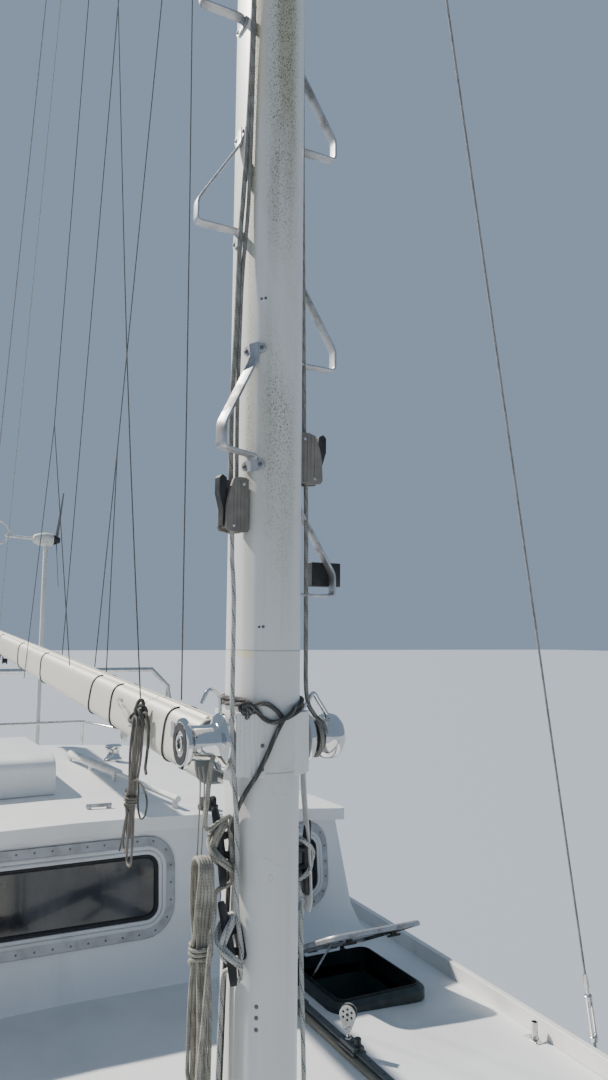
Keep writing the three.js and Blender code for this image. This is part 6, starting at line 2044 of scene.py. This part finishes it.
def belay(seat: Matrix, radius: float, passes: int) -> list[Vector]:
    """Figures of eight under the horns of a cleat.

    Args:
        seat: the cleat's frame.
        radius: the rope's radius.
        passes: number of figures.

    Returns:
        The route, from above the cleat to below it.
    """
    side = 0.0105 + 0.7 * radius
    route = [(side + 0.004, 0.06, 0.01), (side + 0.002, 0.02, 0.012), (side * 0.95, -0.025, 0.013)]
    steps = 18
    for k in range(passes * steps + 1):
        turn = tau * k / steps - pi / 2
        crossed = 2 * k / steps
        over = cos(turn) ** 2
        route.append(((side + 0.002) * sin(2 * turn), (0.044 + 0.6 * radius * crossed) * sin(turn),
                      0.013 + (0.029 + 0.9 * radius * crossed) * over))
    route.append((-side * 0.7, -0.066 - 1.2 * radius * passes, 0.012))
    return [seat @ Vector(spot) for spot in route]


@dataclass(frozen=True)
class Hank:
    """A rope folded into a hanging hank, with its last turns round the waist."""

    name: str
    body: str
    finish: Finish
    top: Point
    bottom: Point
    through: Point
    diameter: float
    fold: float
    waist: float
    band: float
    lifts: tuple[float, ...]
    wraps: int = 3
    slack: float = 0.004

    def route(self) -> list[Vector]:
        """The centre line, from the start at the top to the bare end below the turns round the waist."""
        low, high = Vector(self.bottom), Vector(self.top)
        axis = (high - low).normalized()
        through = Vector(self.through).normalized()
        across = axis.cross(through).normalized()
        tall, layers = (high - low).length, len(self.lifts)
        step = self.diameter * 1.05
        run: list[Point] = []

        def lay(u: float, h: float, layer: float) -> None:
            """Adds a point, drawn in towards the waist."""
            near = exp(-(((h - self.waist) / 0.095) ** 2))
            neck = 0.3 * exp(-(((h - tall) / 0.07) ** 2))
            run.append((u * (1 - 0.7 * near), h, (layer - layers / 2) * step * (1 - 0.25 * near - neck)))

        def strand(side: int, start: float, end: float, layer: float) -> None:
            """Adds a strand between the folds at its two ends, each hanging a little differently."""
            for k in range(1, 14):
                t = k / 14
                sway = self.slack * sin(pi * t) * sin(7.3 * layer + 5.0 * t)
                lay(side * self.fold + sway, start + (end - start) * t,
                    layer + 0.32 * t + 40 * sway * t * (1 - t))

        def turn_down(layer: float) -> None:
            """Adds the quarter turn at the top, from the middle to a strand."""
            for k in range(7):
                a = pi / 2 * k / 6
                lay(self.fold * sin(a), tall - self.fold * (1 - cos(a)), layer + 0.04 * k / 6)

        for i, lift in enumerate(self.lifts):
            turn_down(i)
            strand(1, tall - self.fold, lift + self.fold, i + 0.06)
            for k in range(13):
                a = pi * k / 12
                lay(self.fold * cos(a), lift + self.fold * (1 - sin(a)), i + 0.4 + 0.16 * k / 12)
            strand(-1, lift + self.fold, tall - self.fold, i + 0.6)
            for k in range(6):
                a = pi / 2 * k / 6
                lay(-self.fold * cos(a), tall - self.fold * (1 - sin(a)), i + 0.94 + 0.06 * k / 6)
        first = self.waist + self.wraps * step / 2
        turn_down(layers)
        for k in range(1, 14):
            t = k / 14
            lay(self.fold, tall - self.fold + (first + 0.016 - tall + self.fold) * t, layers + 0.06 + 0.4 * t)
        u, _, n = run[-1]
        angle = atan2(n, u)
        turns = int(self.wraps * 20)
        for k in range(1, turns + 1):
            a = angle + tau * k / 20
            reach = self.band + (hypot(u, n) - self.band) * max(0.0, 1 - k / 6)
            run.append((reach * cos(a), first - step * k / 20, reach * sin(a)))
        ending = angle + tau * turns / 20
        for k in range(1, 9):
            a = ending + 0.24 * k
            fall = 17 * (self.band * 0.24) ** 2
            run.append((self.band * cos(a), run[-1][1] - step * 0.24 / tau - fall * (2 * k - 1),
                        self.band * sin(a)))
        return [low + across * u + axis * h + through * n for u, h, n in run]

    def build(self, shop: Workshop) -> None:
        route = self.route()
        made = shop.piece(self.name, Sketch().tube(route, self.diameter / 2, 12), self.finish, self.body,
            smooth=60, replaces=[self.name])
        round(length_of(route), 2)


HANKS = (
    Hank("halyard_hank", "root", CREAM_ROPE, (1.4768, -0.1513, 2.31), (1.4768, -0.1513, 1.7), (0, -1, 0),
         0.009, 0.0285, 0.415, 0.0235, (0.0, 0.085, 0.02, 0.13), slack=0.011),
    Hank("boom_hank", "boom", HANK_ROPE, (0.675, -0.0803, 2.545), (0.575, -0.0803, 2.062), (0, -1, 0),
         0.008, 0.0245, 0.225, 0.0205, (0.0, 0.095, 0.05), slack=0.005),
)


# Bow, cockpit and wind generator


@dataclass
class BowWork:
    """Bow fitting, anchor, windlass, locker lid and pulpit, with the arch at the stern."""

    def build(self, shop: Workshop) -> None:
        """Dresses the pieces at the bow and the stern arch."""
        shop.skin("bow_fitting", STEEL, 35, 0.002)
        shop.skin("anchor", ALLOY, 30, 0.004)
        shop.skin("windlass", CHROME, 35, 0.003)
        shop.skin("anchor_locker_lid", ROOF_PAINT, 30, 0.006)
        shop.skin("pulpit", STEEL, 50, 0.0)
        shop.skin("stern_arch", STEEL, 50, 0.0)


@dataclass
class CockpitWork:
    """Cockpit lids, pedestal, wheel and winches."""

    def build(self, shop: Workshop) -> None:
        """Dresses the cockpit's pieces."""
        for side in Side:
            shop.skin(f"seat_lid_{side.label}", TEAK, 30, 0.004)
            shop.skin(f"cockpit_winch_{side.label}", CHROME, 45, 0.0015)
        shop.skin("pedestal", HOUSE_PAINT, 35, 0.004)
        shop.skin("steering_wheel", STEEL, 50, 0.0)


@dataclass
class WindGenerator:
    """The wind generator's pole, head and rotor."""

    def build(self, shop: Workshop) -> None:
        """Dresses the wind generator."""
        shop.skin("wind_generator_pole", PAD_PAINT, 45, 0.002)
        shop.skin("wind_generator_head", WHITE_PLASTIC, 45, 0.002)
        shop.skin("wind_generator_rotor", BLACK, 40, 0.001)


def main() -> None:
    """Builds the studio and the yacht's sub-assemblies in order."""
    logging.basicConfig(level=logging.INFO, format="%(name)s %(message)s")
    shop = Workshop()
    Studio().build()
    HullWork().build(shop)
    PilothouseWork().build(shop)
    for side, angle in ((Side.PORT, 25.0), (Side.STARBOARD, 0.0)):
        ForeHatch(side, angle).build(shop)
        SheetTrack(side).build(shop)
        MastWinch(side).build(shop)
    MastWork().build(shop)
    RopeClutch(Side.PORT, 3.178, 0.013).build(shop)
    RopeClutch(Side.STARBOARD, 3.038, 0.052).build(shop)
    for row in MAST_CLEATS:
        MastCleat(*row).build(shop)
    BoomWork().build(shop)
    StandingRigging().build(shop)
    RunningRigging().build(shop)
    for hank in HANKS:
        hank.build(shop)
    BowWork().build(shop)
    CockpitWork().build(shop)
    WindGenerator().build(shop)
    LOG.info("%d pieces", shop.count)


if __name__ == "__main__":
    main()
